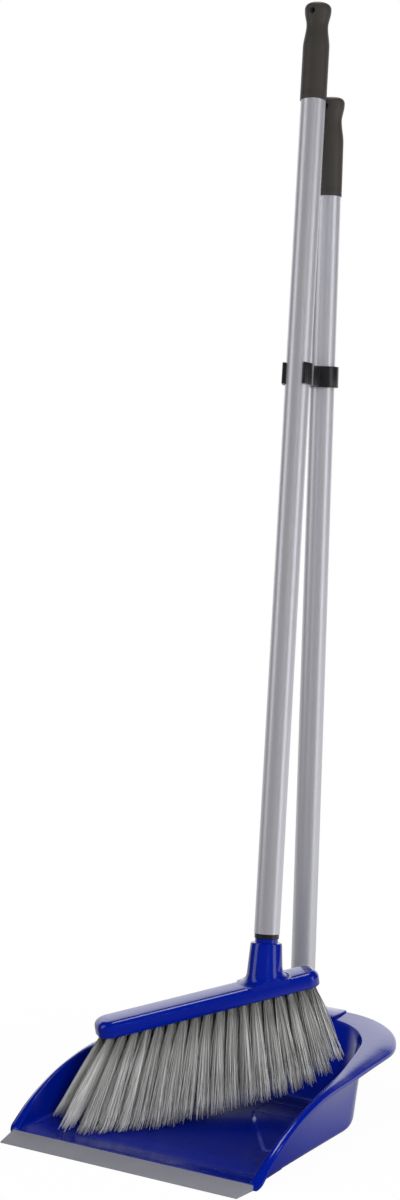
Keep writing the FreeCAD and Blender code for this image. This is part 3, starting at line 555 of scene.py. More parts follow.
def flagged_polyester_fibre(name, finishes):
    """Crimped polyester fibre in mixed greys: each strand has its own shade, and its flagged end
    is split and paler. Light gets through a strand, and painted shade darkens it towards the root."""
    material, tree, _ = new_material(name)
    shade = add_node(tree, "Attribute", attribute_name="shade").outputs["Fac"]
    along = add_node(tree, "Attribute", attribute_name="along").outputs["Fac"]
    ramp = add_node(tree, "ValToRGB", {"Fac": shade})
    dark, light = finishes.bristle_dark[:], finishes.bristle_light[:]
    for element, rgba in zip(ramp.color_ramp.elements, (dark, light)):
        element.color = rgba
    flagged = add_node(tree, "MapRange", {"Value": along, "From Min": 0.78, "To Max": 0.45})
    # Painted shade: towards the roots the strands' colour darkens to 0.35 of the darkest fibre.
    shadowed = add_node(
        tree, "MapRange", {"Value": along, "From Max": 0.4, "To Min": 0.6, "To Max": 0.0}, **SMOOTH
    )
    tipped = add_node(tree, "Mix", {"Factor": flagged, "A": ramp, "B": light}, **TINT).outputs[2]
    fibre = add_node(
        tree, "Mix", {"Factor": shadowed, "A": tipped, "B": shaded(dark, 0.35)}, **TINT
    ).outputs[2]
    shader = add_node(tree, "BsdfPrincipled", {"Base Color": fibre, "Roughness": 0.42, "IOR": 1.5})
    through = add_node(tree, "BsdfTranslucent", {"Color": fibre})
    both = add_node(tree, "MixShader", {"Fac": 0.5, 1: shader, 2: through})
    add_node(tree, "OutputMaterial", {"Surface": both})
    return material


def galvanised_wire(name, _):
    """Galvanised steel wire of the tuft anchors: dull and grey, with drawing streaks."""
    material, tree, place = new_material(name)
    streaks = add_node(
        tree, "TexNoise", {"Vector": place, "Scale": noise_scale(0.3), "Detail": 2.0}
    )
    shader = add_node(tree, "BsdfPrincipled", {
        "Base Color": linear("#A9ABAD"),
        "Roughness": add_node(tree, "MapRange", {"Value": streaks, "To Min": 0.35, "To Max": 0.5}),
        "Metallic": 1.0,
    })
    add_node(tree, "OutputMaterial", {"Surface": shader})
    return material


def matt_studio_floor(name, finishes):
    """Matt white studio floor. To the eye it is as white as the background, but for a faint
    shadow round the set; mirrored, it glows white behind the set and dim in front of it. It also
    glows up onto the set, painted light beyond what a plain floor would throw up."""
    material, tree, place = new_material(name)
    shader = add_node(tree, "BsdfPrincipled", {
        "Base Color": finishes.floor_white[:],
        "Roughness": 1.0,
        "Specular IOR Level": 0.0,
    })
    distance = add_node(tree, "VectorMath", {0: place}, operation="LENGTH").outputs["Value"]
    depth = add_node(tree, "SeparateXYZ", {"Vector": place}).outputs["Y"]
    # The faint shadow ends between 15 and 60 cm from the pan. Mirrored, the floor's painted glow
    # brightens between 10 cm in front of the pan's middle and 20 cm behind it.
    steps = (
        {"Value": distance, "From Min": 0.15, "From Max": 0.6, "To Min": 0.96},
        {"Value": depth, "From Min": -0.1, "From Max": 0.2, "To Min": 0.06, "To Max": 0.75},
    )
    unshadowed, behind = (add_node(tree, "MapRange", step, **SMOOTH) for step in steps)
    ray = add_node(tree, "LightPath").outputs
    strength = add_node(tree, "Mix", {"Factor": ray["Is Glossy Ray"], "A": 1.0, "B": behind})
    white = add_node(tree, "Emission", {"Color": (1, 1, 1, 1), "Strength": strength})
    shown = add_node(tree, "Math", {0: ray["Is Camera Ray"], 1: unshadowed}, **TIMES)
    # Painted light: to diffuse rays the floor glows at 0.3, lighting the set from below.
    diffuse_glow = add_node(tree, "Math", {0: ray["Is Diffuse Ray"], 1: 0.3}, **TIMES)
    unseen = add_node(tree, "Math", {0: diffuse_glow, 1: ray["Is Glossy Ray"]}, **LARGER)
    glow = add_node(tree, "Math", {0: shown, 1: unseen}, **LARGER)
    both = add_node(tree, "MixShader", {"Fac": glow, 1: shader, 2: white})
    add_node(tree, "OutputMaterial", {"Surface": both})
    return material


def material_from(make):
    """The material that a function makes, made the first time it is asked for."""
    name = make.__name__
    return bpy.data.materials.get(name) or make(name, bpy.context.scene.finishes)


# ---- the pan

SIDE_ROWS, CORNER_ROWS, BACK_ROWS = 64, 30, 22


def arc_through(start, end, bulge):
    """Centre and radius of an arc that stands out from its chord to the left by the bulge."""
    chord = end - start
    half = chord.length / 2
    radius = (half ** 2 + bulge ** 2) / (2 * bulge)
    left = Vector((-chord.y, chord.x)).normalized()
    return (start + end) / 2 + left * (bulge - radius), radius


def circles_meet(centre_a, radius_a, centre_b, radius_b, side):
    """Where two circles meet: left of the line from a to b for side 1, right of it for -1."""
    line = centre_b - centre_a
    along = (line.length ** 2 + radius_a ** 2 - radius_b ** 2) / (2 * line.length)
    aside = side * math.sqrt(radius_a ** 2 - along ** 2)
    unit = line.normalized()
    return centre_a + unit * along + Vector((-unit.y, unit.x)) * aside


def swept(centre, start, end, shares):
    """Points of an arc from start to end at the given shares of its length."""
    first, last = start - centre, end - centre
    turn = first.angle_signed(last)
    points = []
    for share in shares:
        spoke = first.copy()
        spoke.rotate(Matrix.Rotation(-turn * share, 2))
        points.append(centre + spoke)
    return points


def plan_outline(half_front, half_back, front, back, waist, bulge, corner):
    """Outline of the pan in plan from the front right round the back to the front left, with the
    same count of points on each stretch whatever the sizes."""
    front_right = Vector((half_front, front))
    back_right = Vector((half_back, back - bulge))
    back_left = Vector((-half_back, back - bulge))
    side_centre, side_radius = arc_through(front_right, back_right, waist)
    back_centre, back_radius = arc_through(back_left, back_right, bulge)
    turn = 1 if waist > 0 else -1
    corner_centre = circles_meet(
        back_centre, back_radius - corner, side_centre, side_radius + corner, turn
    )
    side_end = side_centre + (corner_centre - side_centre).normalized() * abs(side_radius)
    back_start = back_centre + (corner_centre - back_centre).normalized() * back_radius
    denser_in_front = [(step / SIDE_ROWS) ** 1.5 for step in range(SIDE_ROWS)]
    points = swept(side_centre, front_right, side_end, denser_in_front)
    corner_shares = [step / CORNER_ROWS for step in range(CORNER_ROWS)]
    points += swept(corner_centre, side_end, back_start, corner_shares)
    back_shares = [step / BACK_ROWS for step in range(BACK_ROWS + 1)]
    points += swept(back_centre, back_start, Vector((0, back)), back_shares)
    right = np.array([[p.x, p.y] for p in points])
    left = right[-2::-1] * (-1, 1)
    return np.vstack([right, left])


def pan_outline(pan, level, outset=0.0):
    """Outline of the pan's base, mouth or rim, widened by the outset."""
    half_front, half_back, back, waist, bulge, corner = (
        getattr(pan, f"{level}_{size}") for size in OUTLINE_SIZES
    )
    return plan_outline(
        half_front + outset,
        half_back + outset,
        pan.base_front,
        back + outset,
        waist,
        bulge,
        corner + outset,
    )


# Height of the rim at stations along Y, in millimetres.
RIM_STATIONS = ((-100, 2.6), (-71, 21.3), (-38, 34.9), (2, 44.0), (72, 48.7), (210, 55.5))


def rim_height(y):
    """Height of the rim at positions along Y: a smooth curve through the stations."""
    known_y, known_z = (np.array(column) * MM for column in zip(*RIM_STATIONS))
    slopes = np.gradient(known_z, known_y)
    slopes[0] = (known_z[1] - known_z[0]) / (known_y[1] - known_y[0])
    index = np.clip(np.searchsorted(known_y, y) - 1, 0, len(known_y) - 2)
    step = known_y[index + 1] - known_y[index]
    t = (y - known_y[index]) / step
    rise = (1 + 2 * t) * (1 - t) ** 2 * known_z[index] + t ** 2 * (3 - 2 * t) * known_z[index + 1]
    lean = t * (1 - t) ** 2 * slopes[index] - t ** 2 * (1 - t) * slopes[index + 1]
    return rise + lean * step


def lifted(plan, height):
    """Plan points with heights."""
    return np.column_stack([plan, np.broadcast_to(height, len(plan))])


class Wall:
    """A straight wall between two outlines, each at its level."""

    def __init__(self, low, high, low_level, high_level):
        self.low, self.high = low, high
        self.low_level, self.high_level = low_level, high_level

    def at(self, height):
        """The wall's points at one height, or each at its own."""
        height = np.broadcast_to(height, len(self.low))
        share = ((height - self.low_level) / (self.high_level - self.low_level))[:, None]
        return lifted(self.low + (self.high - self.low) * share, height)

    def under_rim(self, drop):
        """Where the wall meets the rim's surface, or a surface that lies a drop under it."""
        height = self.high_level * 0.8
        # Each round comes closer to the surface, whatever the start.
        for _ in range(12):
            height = rim_height(self.at(height)[:, 1]) - drop
        return self.at(height)


def outwards(plan):
    """Level unit vectors that point out of an outline."""
    along = np.gradient(plan, axis=0)
    out = np.column_stack([along[:, 1], -along[:, 0]])
    out[0] = (1, 0)
    out[-1] = (-1, 0)
    out /= np.linalg.norm(out, axis=1)[:, None]
    return np.column_stack([out, np.zeros(len(out))])


def stepped_to(start, end, distance):
    """The points a distance from the start towards the end, and not past the middle."""
    way = end - start
    span = np.maximum(np.linalg.norm(way, axis=1), 1e-9)
    return start + way * np.minimum(distance / span, 0.49)[:, None]


def thirds(start, end):
    """The points a third and two thirds of the way from start to end."""
    return [start + (end - start) * share for share in (0.33, 0.66)]


# At the rim's front tips: the share of the flange that is left, and of the skirt's depth by which
# the rim is lowered.
TIP_REACH, TIP_DROP = 0.25, 0.55
# The flange is crowned in full where it is this broad, less where it faces to the front or back,
# and falls ever faster towards its edge.
CROWN_BREADTH, CROWN_SIDES, CROWN_SPAN, CROWN_FALL = 25 * MM, 1.5, 0.95, 3.5
# How far along the flange its points lie: closer together where the crown falls.
FLANGE_SHARES = (0.25, 0.5, 0.65, 0.78, 0.9, 1.0)
# Where the wall is low, its roundings into floor and base take at most these shares of it, and
# keep at least the second figure's share of their size.
FLOOR_ROUND_SHARE, BASE_ROUND_SHARE = (0.45, 0.2), (0.6, 0.1)
# The floor and the base are sheets within rings this far inside their roundings.
RING_INSET = 2 * MM
# The share of the skirt that its upper rounding may take, its hem, and the least thickness and
# room that it is given.
SKIRT_ROUND_SHARE, HEM, SKIRT_LEAST, SKIRT_ROOM = 0.45, 0.7 * MM, 0.4 * MM, 0.02 * MM


def eased_off(rounding, height, limits):
    """The share of a rounding's size that a wall of some height leaves it."""
    most, least = limits
    return np.clip(height * most / rounding, least, 1)[:, None]


def pan_shell(pan):
    """Floor, walls, flange and skirt as one closed wall of even thickness. Its columns of points
    run up the inner side of the wall, out over the rim and down and in under the base."""
    floor_in, mouth_in = pan_outline(pan, "base", -pan.wall), pan_outline(pan, "mouth")
    base_out, mouth_out = pan_outline(pan, "base"), pan_outline(pan, "mouth", pan.wall)
    inner = Wall(floor_in, mouth_in, pan.floor, pan.mouth_level)
    outer = Wall(base_out, mouth_out, 0, pan.mouth_level)
    rim_out = pan_outline(pan, "rim")
    out, wall_out = outwards(rim_out), outwards(mouth_in)

    # The rim is rounded off towards the lip, so it narrows to the wall over its last stretch.
    from_tip = np.clip((rim_out[:, 1] - pan.base_front) / pan.rim_tip, 0, 1)
    fullness = np.sqrt(1 - (1 - from_tip) ** 2)
    lowered = (1 - fullness) * pan.skirt_front * TIP_DROP
    inner_edge = inner.under_rim(0)
    hidden_edge = outer.under_rim(pan.rim_plate)
    reach = (TIP_REACH + (1 - TIP_REACH) * fullness)[:, None]
    outer_plan = hidden_edge[:, :2] + (rim_out - hidden_edge[:, :2]) * reach
    outer_edge = lifted(outer_plan, rim_height(outer_plan[:, 1]))
    for edge in (inner_edge, outer_edge, hidden_edge):
        edge[:, 2] -= lowered

    # At the sides the flange is crowned: it falls towards its outer edge.
    breadth = np.linalg.norm(outer_plan - inner_edge[:, :2], axis=1)
    sideways = np.abs(out[:, 0]) ** CROWN_SIDES
    crown = pan.rim_crown * fullness * np.clip(breadth / CROWN_BREADTH, 0, 1) * sideways
    share = (outer_edge[:, 1] - pan.base_front) / (pan.rim_back - pan.base_front)
    depth = pan.skirt_front + (pan.skirt_back - pan.skirt_front) * share - crown
    outer_edge[:, 2] -= crown
    down = np.array([[0.0, 0.0, -1.0]])

    floor_level = lifted(floor_in, pan.floor)
    tall = eased_off(pan.floor_edge, inner_edge[:, 2] - pan.floor, FLOOR_ROUND_SHARE)
    wall_rise = inner.at(pan.floor + pan.floor_edge)
    wall_rise = floor_level + (wall_rise - floor_level) * tall
    floor_start = floor_level - wall_out * pan.floor_edge * tall
    columns = [floor_level - wall_out * (pan.floor_edge * tall + RING_INSET)]
    columns += bent(floor_start, floor_level, wall_rise, 7)
    rim_start = stepped_to(inner_edge, wall_rise, pan.rim_inner_round)
    columns += thirds(wall_rise, rim_start)

    flange_start = stepped_to(inner_edge, outer_edge, pan.rim_inner_round)
    columns += bent(rim_start, inner_edge, flange_start, 4)
    flange_stop = stepped_to(outer_edge, inner_edge, pan.rim_outer_round)
    for share in FLANGE_SHARES:
        flange = flange_start + (flange_stop - flange_start) * share
        fallen = crown * (CROWN_SPAN * share) ** CROWN_FALL
        flange[:, 2] = rim_height(flange[:, 1]) - lowered - fallen
        columns.append(flange)
    flange_end = columns.pop()

    skirt_round = np.minimum(pan.rim_outer_round, depth * SKIRT_ROUND_SHARE)[:, None]
    skirt_start = outer_edge + down * skirt_round
    columns += bent(flange_end, outer_edge, skirt_start, 6)
    skirt_foot = outer_edge + down * depth[:, None]
    room = np.einsum("ij,ij->i", outer_edge - hidden_edge, out)
    thickness = np.clip(room - SKIRT_ROOM, SKIRT_LEAST, pan.skirt_wall)[:, None]
    skirt_inside = skirt_foot - out * thickness
    hem_in, hem_up = out * np.minimum(HEM, thickness / 2), down * HEM
    columns += bent(skirt_foot - hem_up, skirt_foot, skirt_foot - hem_in, 3)
    columns += bent(skirt_inside + hem_in, skirt_inside, skirt_inside - hem_up, 3)
    columns.append(skirt_inside - down * (depth - pan.rim_plate)[:, None])
    columns.append(hidden_edge)

    base_level = lifted(base_out, 0)
    squat = eased_off(pan.base_edge, hidden_edge[:, 2], BASE_ROUND_SHARE)
    edge_top = base_level + (outer.at(pan.base_edge) - base_level) * squat
    columns += thirds(hidden_edge, edge_top)
    base_start = base_level - wall_out * pan.base_edge * squat
    columns += bent(edge_top, base_level, base_start, 6)
    columns.append(base_start - wall_out * RING_INSET)

    grid = np.stack(columns, axis=1)
    grid[(0, -1), :, 1] = pan.base_front
    shape = lofted(grid)
    corners = {}
    for vert in shape.verts:
        corners.setdefault(tuple(np.round(vert.co, 7)), vert)
    for column in (0, -1):
        shape.faces.new([corners[tuple(np.round(Vector(spot), 7))] for spot in grid[:, column]])
    bmesh.ops.holes_fill(shape, edges=shape.edges, sides=0)
    bmesh.ops.recalc_face_normals(shape, faces=shape.faces)
    return shape


# How deep the pan's additions stand in the floor, so that nothing shows under them.
SUNK = 0.5 * MM


def threshold(pan):
    """The low ramp right behind the lip."""
    front, back = pan.base_front, pan.base_front + pan.ridge_length
    crest_width, edge_round = 1.5 * MM, 0.5 * MM
    corners = [
        (front, SUNK),
        (back, SUNK),
        (back, pan.floor - 0.3 * MM),
        (front + crest_width, pan.ridge_height),
        (front, pan.ridge_height),
    ]
    shape = prism(corners, 2 * (pan.base_half_front - pan.wall / 2), upright=True)
    rounded(shape, edges_above(shape.edges, pan.ridge_height - 0.1 * MM), edge_round)
    return shape


# The right raised field in plan and the middles of its two grooves, in millimetres.
FIELD_PLAN = ((104, -22), (79, -22), (39, 35), (26, 57), (26, 104), (78, 104), (104, 78))
FIELD_GROOVES = (58, 86)


def raised_field(pan, side):
    """One raised field of the floor with its two grooves."""
    corners = [(side * across * MM, along * MM) for across, along in FIELD_PLAN]
    shape = prism(corners, pan.floor + 0.02 * MM)
    plate = max(shape.faces, key=lambda face: face.calc_center_median().z)
    bmesh.ops.inset_region(
        shape,
        faces=[plate],
        thickness=pan.deck_slope,
        depth=pan.deck_height,
        use_even_offset=True,
    )
    top = pan.floor + pan.deck_height - LEVEL
    for groove in FIELD_GROOVES:
        middle = groove * MM
        for edge in (middle - pan.deck_groove / 2, middle + pan.deck_groove / 2):
            bmesh.ops.bisect_plane(
                shape,
                geom=shape.verts[:] + shape.edges[:] + shape.faces[:],
                plane_co=(0, edge, 0),
                plane_no=(0, 1, 0),
            )
        centres = [(face, face.calc_center_median()) for face in shape.faces]
        strips = [
            face
            for face, centre in centres
            if centre.z > top and abs(centre.y - middle) < pan.deck_groove / 2
        ]
        pushed(shape, strips, (0, 0, -pan.deck_groove_depth))
        bmesh.ops.delete(shape, geom=strips, context="FACES_ONLY")
    rounded(shape, edges_above(sharp_edges(shape), top), 0.35 * MM, segments=2)
    bmesh.ops.recalc_face_normals(shape, faces=shape.faces)
    return shape


def socket_column(pan, handle):
    """The upright socket behind the pan's back wall."""
    top = handle.pan_foot - handle.collar_length
    shoulder = top - pan.neck_length
    shoulder_round, ring_round = 1.5 * MM, 0.4 * MM
    corners = [
        (0, SUNK),
        (pan.column_radius, SUNK),
        (pan.column_top + 0.1 * MM, shoulder - shoulder_round),
        (pan.column_top - 1.2 * MM, shoulder),
        (pan.neck_radius + ring_round, shoulder),
        (pan.neck_radius, shoulder + ring_round),
        (pan.neck_radius, top - ring_round),
        (pan.neck_radius - ring_round, top),
        (0, top),
    ]
    return turned(corners, handle_place("pan", 0))


def gusset(pan):
    """The rib under the sloping back wall, from the floor's back edge to the socket."""
    column = handle_line("pan")[0].y - pan.column_radius + 1 * MM
    flange = RIM_STATIONS[-1][1] * MM - pan.rim_plate
    wall = pan.base_back - pan.wall / 2
    mouth = pan.mouth_back + pan.wall / 2
    foot, thickness = 5 * MM, 4 * MM
    corners = [
        (wall, foot),
        (column, foot),
        (column, flange - 1 * MM),
        (mouth - 8 * MM, flange - 4 * MM),
    ]
    return prism(corners, thickness, upright=True)


def saddle(pan):
    """The raised field of the rim that the socket stands in."""
    top = RIM_STATIONS[-1][1] * MM + pan.saddle_rise
    back = pan.rim_back - 1.2 * MM
    half = pan.saddle_half
    bow = pan.rim_bulge * (half / pan.rim_half_back) ** 2
    plan = [(-half, pan.saddle_start), (half, pan.saddle_start)]
    for step in range(9):
        across = 1 - step / 4
        plan.append((across * half, back - bow * across ** 2))
    shape = prism(plan, top)
    low = [vert for vert in shape.verts if vert.co.z < 1 * MM]
    rise = top - pan.saddle_rise - pan.rim_plate * 0.6
    bmesh.ops.translate(shape, verts=low, vec=(0, 0, rise))
    rounded(shape, edges_above(shape.edges, top - LEVEL), 0.9 * MM)
    return shape


class BuildPan(bpy.types.Operator):
    """Build the moulded pan."""
    bl_idname = "dustpan.build_pan"
    bl_label = "Build Pan"

    def execute(self, context):
        pan, handle = context.scene.pan_sizes, context.scene.handle_sizes
        plastic = material_from(moulded_polypropylene_blue)
        shapes = [
            pan_shell(pan),
            threshold(pan),
            raised_field(pan, 1),
            raised_field(pan, -1),
            socket_column(pan, handle),
            gusset(pan),
            saddle(pan),
        ]
        nodes = ["pan_body", "pan_floor"]
        finished("pan_moulding", joined(shapes), plastic, "pan", nodes)
        return {"FINISHED"}


class BuildLip(bpy.types.Operator):
    """Build the rubber lip along the front edge."""
    bl_idname = "dustpan.build_lip"
    bl_label = "Build Lip"

    def execute(self, context):
        pan, lip = context.scene.pan_sizes, context.scene.lip_sizes
        rubber = material_from(extruded_rubber_grey)
        shape = bmesh.new()
        bmesh.ops.create_cube(shape, size=1.0)
        at_front = (lip.half_front, pan.base_front - lip.reach, lip.edge)
        at_back = (lip.half_back, pan.base_front, pan.ridge_height)
        for vert in shape.verts:
            half, along, crest = at_back if vert.co.y > 0 else at_front
            vert.co = (math.copysign(half, vert.co.x), along, crest if vert.co.z > 0 else 0)
        rounded(shape, sharp_edges(shape), 0.35 * MM)
        finished("lip_moulding", shape, rubber, "pan", ["lip_strip"])
        return {"FINISHED"}


# ---- handles

# The sleeve's rolled edge and its groove: how far in from the radius, and how high, in mm.
SLEEVE_BANDS = (
    (0.2, 0), (0, 0.2), (0, 3.6), (0.25, 3.8), (0.25, 4.3), (0, 4.5), (0, 5.9), (0.2, 6.1),
    (0.2, 6.4), (0, 6.6),
)
TUBE_STEPS = 72


def eased(start, end, steps=14):
    """Points of an S-shaped run between two (radius, height) points, without the first."""
    points = []
    for step in range(1, steps + 1):
        share = step / steps
        blend = share * share * (3 - 2 * share)
        radius = start[0] + (end[0] - start[0]) * blend
        points.append((radius, start[1] + (end[1] - start[1]) * share))
    return points


def grip_corners(handle):
    """Outline of the grip: sleeve with a rolled lower edge, waist, flared head with a domed top."""
    radius, sleeve, top = handle.grip_radius, handle.grip_sleeve, handle.grip_height
    bore = handle.tube_radius + 0.05 * MM
    shoulder = (radius, sleeve - 6 * MM)
    waist = (handle.grip_neck_radius, handle.grip_neck)
    points = [(0, sleeve), (bore, sleeve), (bore, 0)]
    points += [(radius - inwards * MM, height * MM) for inwards, height in SLEEVE_BANDS]
    points.append(shoulder)
    points += eased(shoulder, waist)
    points += eased(waist, (radius, handle.grip_flare))
    for step in range(9):
        turn = math.radians(90 * step / 8)
        out = radius - handle.grip_round + handle.grip_round * math.cos(turn)
        up = top - handle.grip_round + handle.grip_round * math.sin(turn)
        if up > handle.grip_flare:
            points.append((out, up))
    points.append((0, top))
    return points


def bored(shape, place, radius, reach):
    """Cuts a round hole through a shape, along the Z of the place."""
    drill = bmesh.new()
    round_bar = {"segments": 32, "radius1": radius, "radius2": radius, "depth": reach}
    bmesh.ops.create_cone(drill, cap_ends=True, matrix=place, **round_bar)
    stock, tool = placed("stock", mesh_of("stock", shape)), placed("drill", mesh_of("drill", drill))
    cut = stock.modifiers.new("hole", "BOOLEAN")
    cut.operation = "DIFFERENCE"
    cut.solver = "EXACT"
    cut.object = tool
    graph = bpy.context.evaluated_depsgraph_get()
    mesh = bpy.data.meshes.new_from_object(stock.evaluated_get(graph))
    result = bmesh.new()
    result.from_mesh(mesh)
    for used in (stock.data, tool.data, mesh):
        bpy.data.meshes.remove(used)
    return result


def recoated(node, material):
    """Gives a CAD node that stays in the picture its material."""
    slots = frame["nodes"][node].data.materials
    slots.clear()
    slots.append(material)


class BuildHandles(bpy.types.Operator):
    """Build both tubes with their grips."""
    bl_idname = "dustpan.build_handles"
    bl_label = "Build Handles"

    def execute(self, context):
        handle = context.scene.handle_sizes
        steel = material_from(silver_lacquered_steel)
        plastic = material_from(spark_eroded_plastic_charcoal)
        black = material_from(moulded_nylon_black)
        outer, inner = handle.tube_radius, handle.tube_radius - handle.tube_wall
        edge_round = 0.15 * MM
        tube = [
            (inner, 0),
            (outer - edge_round, 0),
            (outer, edge_round),
            (outer, handle.tube_length),
            (inner, handle.tube_length),
            (inner, 0),
        ]
        lying = Matrix.Rotation(math.pi / 2, 4, "X")
        across = Matrix.Translation((0, 0, handle.hole_height)) @ lying
        for body, foot in (("pan", handle.pan_foot), ("broom", handle.broom_foot)):
            shape = turned(tube, handle_place(body, foot), TUBE_STEPS)
            finished(f"{body}_handle_tube", shape, steel, body, [f"{body}_tube"])
            grip_foot = foot + handle.tube_length - handle.grip_sleeve
            stock = turned(grip_corners(handle), Matrix.Identity(4), TUBE_STEPS)
            grip = bored(stock, across, handle.hole_radius, 4 * handle.grip_radius)
            grip.transform(handle_place(body, grip_foot))
            finished(f"{body}_handle_grip", grip, plastic, body, [f"{body}_grip"])
            recoated(f"{body}_ferrule", black)
        return {"FINISHED"}


class BuildClip(bpy.types.Operator):
    """Build the clip that parks the brush on the pan's handle."""
    bl_idname = "dustpan.build_clip"
    bl_label = "Build Clip"

    def execute(self, context):
        black = material_from(moulded_nylon_black)
        shape = bmesh.new()
        shape.from_mesh(frame["nodes"]["holder_clip"].data)
        bmesh.ops.remove_doubles(shape, verts=shape.verts, dist=LEVEL)
        flat = math.radians(1)
        bmesh.ops.dissolve_limit(shape, angle_limit=flat, verts=shape.verts, edges=shape.edges)
        rounded(shape, sharp_edges(shape, 60), 0.4 * MM, segments=2)
        finished("clip_moulding", shape, black, "clip", ["holder_clip"])
        return {"FINISHED"}


# ---- brush head

def brush_body(brush):
    """The rounded block in its own frame."""
    size = Vector((brush.left + brush.right, brush.width, brush.height))
    shape = bmesh.new()
    bmesh.ops.create_cube(shape, size=1.0)
    bmesh.ops.scale(shape, vec=size, verts=shape.verts)
    middle = Vector(((brush.right - brush.left) / 2, 0, brush.height / 2))
    bmesh.ops.translate(shape, verts=shape.verts, vec=middle)
    uprights = [e for e in shape.edges if abs(e.verts[0].co.z - e.verts[1].co.z) > brush.height / 2]
    rounded(shape, uprights, brush.corner, segments=12)
    rounded(shape, edges_above(sharp_edges(shape, 60), brush.height * 0.9), brush.edge, segments=6)
    rounded(shape, sharp_edges(shape, 60), 1.0 * MM)
    return shape


SOCKET_STEPS = 96


def brush_socket(brush, pan, handle):
    """The slanted socket, which flares out where it meets the block."""
    lean = head_place(brush).to_3x3().inverted() @ handle_line("broom")[1]
    place = Vector((0, 0, 1)).rotation_difference(lean).to_matrix().to_4x4()
    top = handle.broom_foot - handle.collar_length - brush.foot
    shoulder = top - pan.neck_length
    level, flare = brush.height, 8 * MM
    spokes = [(math.cos(a), math.sin(a)) for a in np.linspace(0, math.tau, SOCKET_STEPS + 1)]

    def ring(radius, height):
        return np.array([place @ Vector((x * radius, y * radius, height)) for x, y in spokes])

    # Where the cone's sides run through the top of the block.
    low, head = ring(brush.socket_foot + 0.6 * MM, 0), ring(brush.socket_top, shoulder)
    share = (level - low[:, 2]) / (head[:, 2] - low[:, 2])
    foot = low + (head - low) * share[:, None]

    way = foot - np.array(place @ Vector((0, 0, level)))
    way[:, 2] = 0
    way /= np.linalg.norm(way, axis=1)[:, None]
    sunk = foot + way * flare
    sunk[:, 2] = level - 0.05 * MM
    columns = [sunk - np.array([0, 0, 4 * MM])]
    columns += bent(sunk, foot, stepped_to(foot, head, flare), 8)
    neck = pan.neck_radius
    for radius, height in (
        (brush.socket_top + 0.05 * MM, shoulder - 1.2 * MM),
        (brush.socket_top - 0.35 * MM, shoulder - 0.35 * MM),
        (brush.socket_top - 1.2 * MM, shoulder),
        (neck + 0.3 * MM, shoulder),
        (neck, shoulder + 0.3 * MM),
        (neck, top - 0.3 * MM),
        (neck - 0.3 * MM, top),
    ):
        columns.append(ring(radius, height))
    grid = np.stack(columns, axis=1)

    # The flare stays within the block's sides.
    half_width = brush.width / 2 - 0.6 * MM
    wide = np.abs(grid[:, :, 1]) > half_width
    low_down = grid[:, :, 2] < level + 2.5 * MM
    sides = np.sign(grid[:, :, 1]) * half_width
    grid[:, :, 1] = np.where(wide & low_down, sides, grid[:, :, 1])
    return closed(lofted(grid))


class BuildBrushBlock(bpy.types.Operator):
    """Build the brush block with its socket."""
    bl_idname = "dustpan.build_brush_block"
    bl_label = "Build Brush Block"

    def execute(self, context):
        scene = context.scene
        brush = scene.brush_sizes
        plastic = material_from(moulded_polypropylene_blue)
        socket = brush_socket(brush, scene.pan_sizes, scene.handle_sizes)
        shape = joined([brush_body(brush), socket])
        shape.transform(head_place(brush))
        finished("brush_block_moulding", shape, plastic, "broom", ["brush_block"])
        return {"FINISHED"}


# How the tufts fan out from their holes to their tips.
FAN_ALONG, FAN_ALONG_BACK, FAN_SHIFT = 1.34, 1.31, -7 * MM
FAN_FRONT, FAN_BACK, FAN_END_LOSS = 2.7, 1.3, 0.6
# The higher, the more the loss of length keeps to the end tufts of a row.
END_SHARPNESS = 6


def tuft_pitch(brush):
    """The distance between neighbouring tufts of a row."""
    return (brush.left + brush.right - 2 * brush.tuft_margin) / (brush.tufts - 1)


def tuft_holes(brush, row):
    """The places of one row's tufts in the block's frame. Every other row is staggered."""
    pitch = tuft_pitch(brush)
    start = brush.tuft_margin - brush.left
    across = (row - 1.5) * brush.row_spacing
    shift, count = (0.5, brush.tufts - 1) if row % 2 else (0, brush.tufts)
    return [(start + pitch * (index + shift), across) for index in range(count)]


def tuft_tip(brush, base):
    """Middle of a tuft's tip, and half its length and width there."""
    half_row = (brush.left + brush.right) / 2 - brush.tuft_margin
    towards_end = ((base[0] - (brush.right - brush.left) / 2) / half_row) ** END_SHARPNESS
    loss = brush.left_loss if base[0] < 0 else brush.right_loss
    drop = brush.bristle - loss * towards_end
    in_front = base[1] < 0
    fan = FAN_FRONT if in_front else FAN_BACK * (1 - FAN_END_LOSS * towards_end)
    spread_out = FAN_ALONG if in_front else FAN_ALONG_BACK
    tip = np.array([base[0] * spread_out + FAN_SHIFT, base[1] * fan, -drop])
    return tip, FAN_ALONG * tuft_pitch(brush) / 2, fan * brush.row_spacing / 2


# Strands aim at places over the tuft's tip, stray from them and stay near its edge.
TIP_STRAY, AIM_LIMIT = 0.12, 1.05
# How much shorter they are cut: a gamma draw, limited as a share of the length and as a height.
CUT_SHAPE, CUT_SIZE, CUT_SHARE, CUT_HEIGHT = 1.6, 1.5 * MM, 0.16, 9 * MM
# How far they bow, and ranges for their crimp in millimetres, its waves and their thickness.
BOW, CRIMP, CRIMP_WAVES, THICKNESS = 1.1 * MM, (0.05, 0.22), (5, 8), (0.75, 1.2)
# A beta draw for their shades, which crowds at both ends, and more at the light end.
SHADES = (0.7, 0.5)
# They start inside the block, get thinner towards the tip, and lie this far above the floor.
ROOT_DEPTH, ROOT_WIDTH, TAPER, FLOOR_ROOM = 2 * MM, 1.05, 0.25, 0.3 * MM
# A strand is laid out straight, this thick, this far from the next, with this many rings.
STRAND_STOCK, STRAND_STEP, STRAND_RINGS = 0.1 * MM, 1 * MM, 8


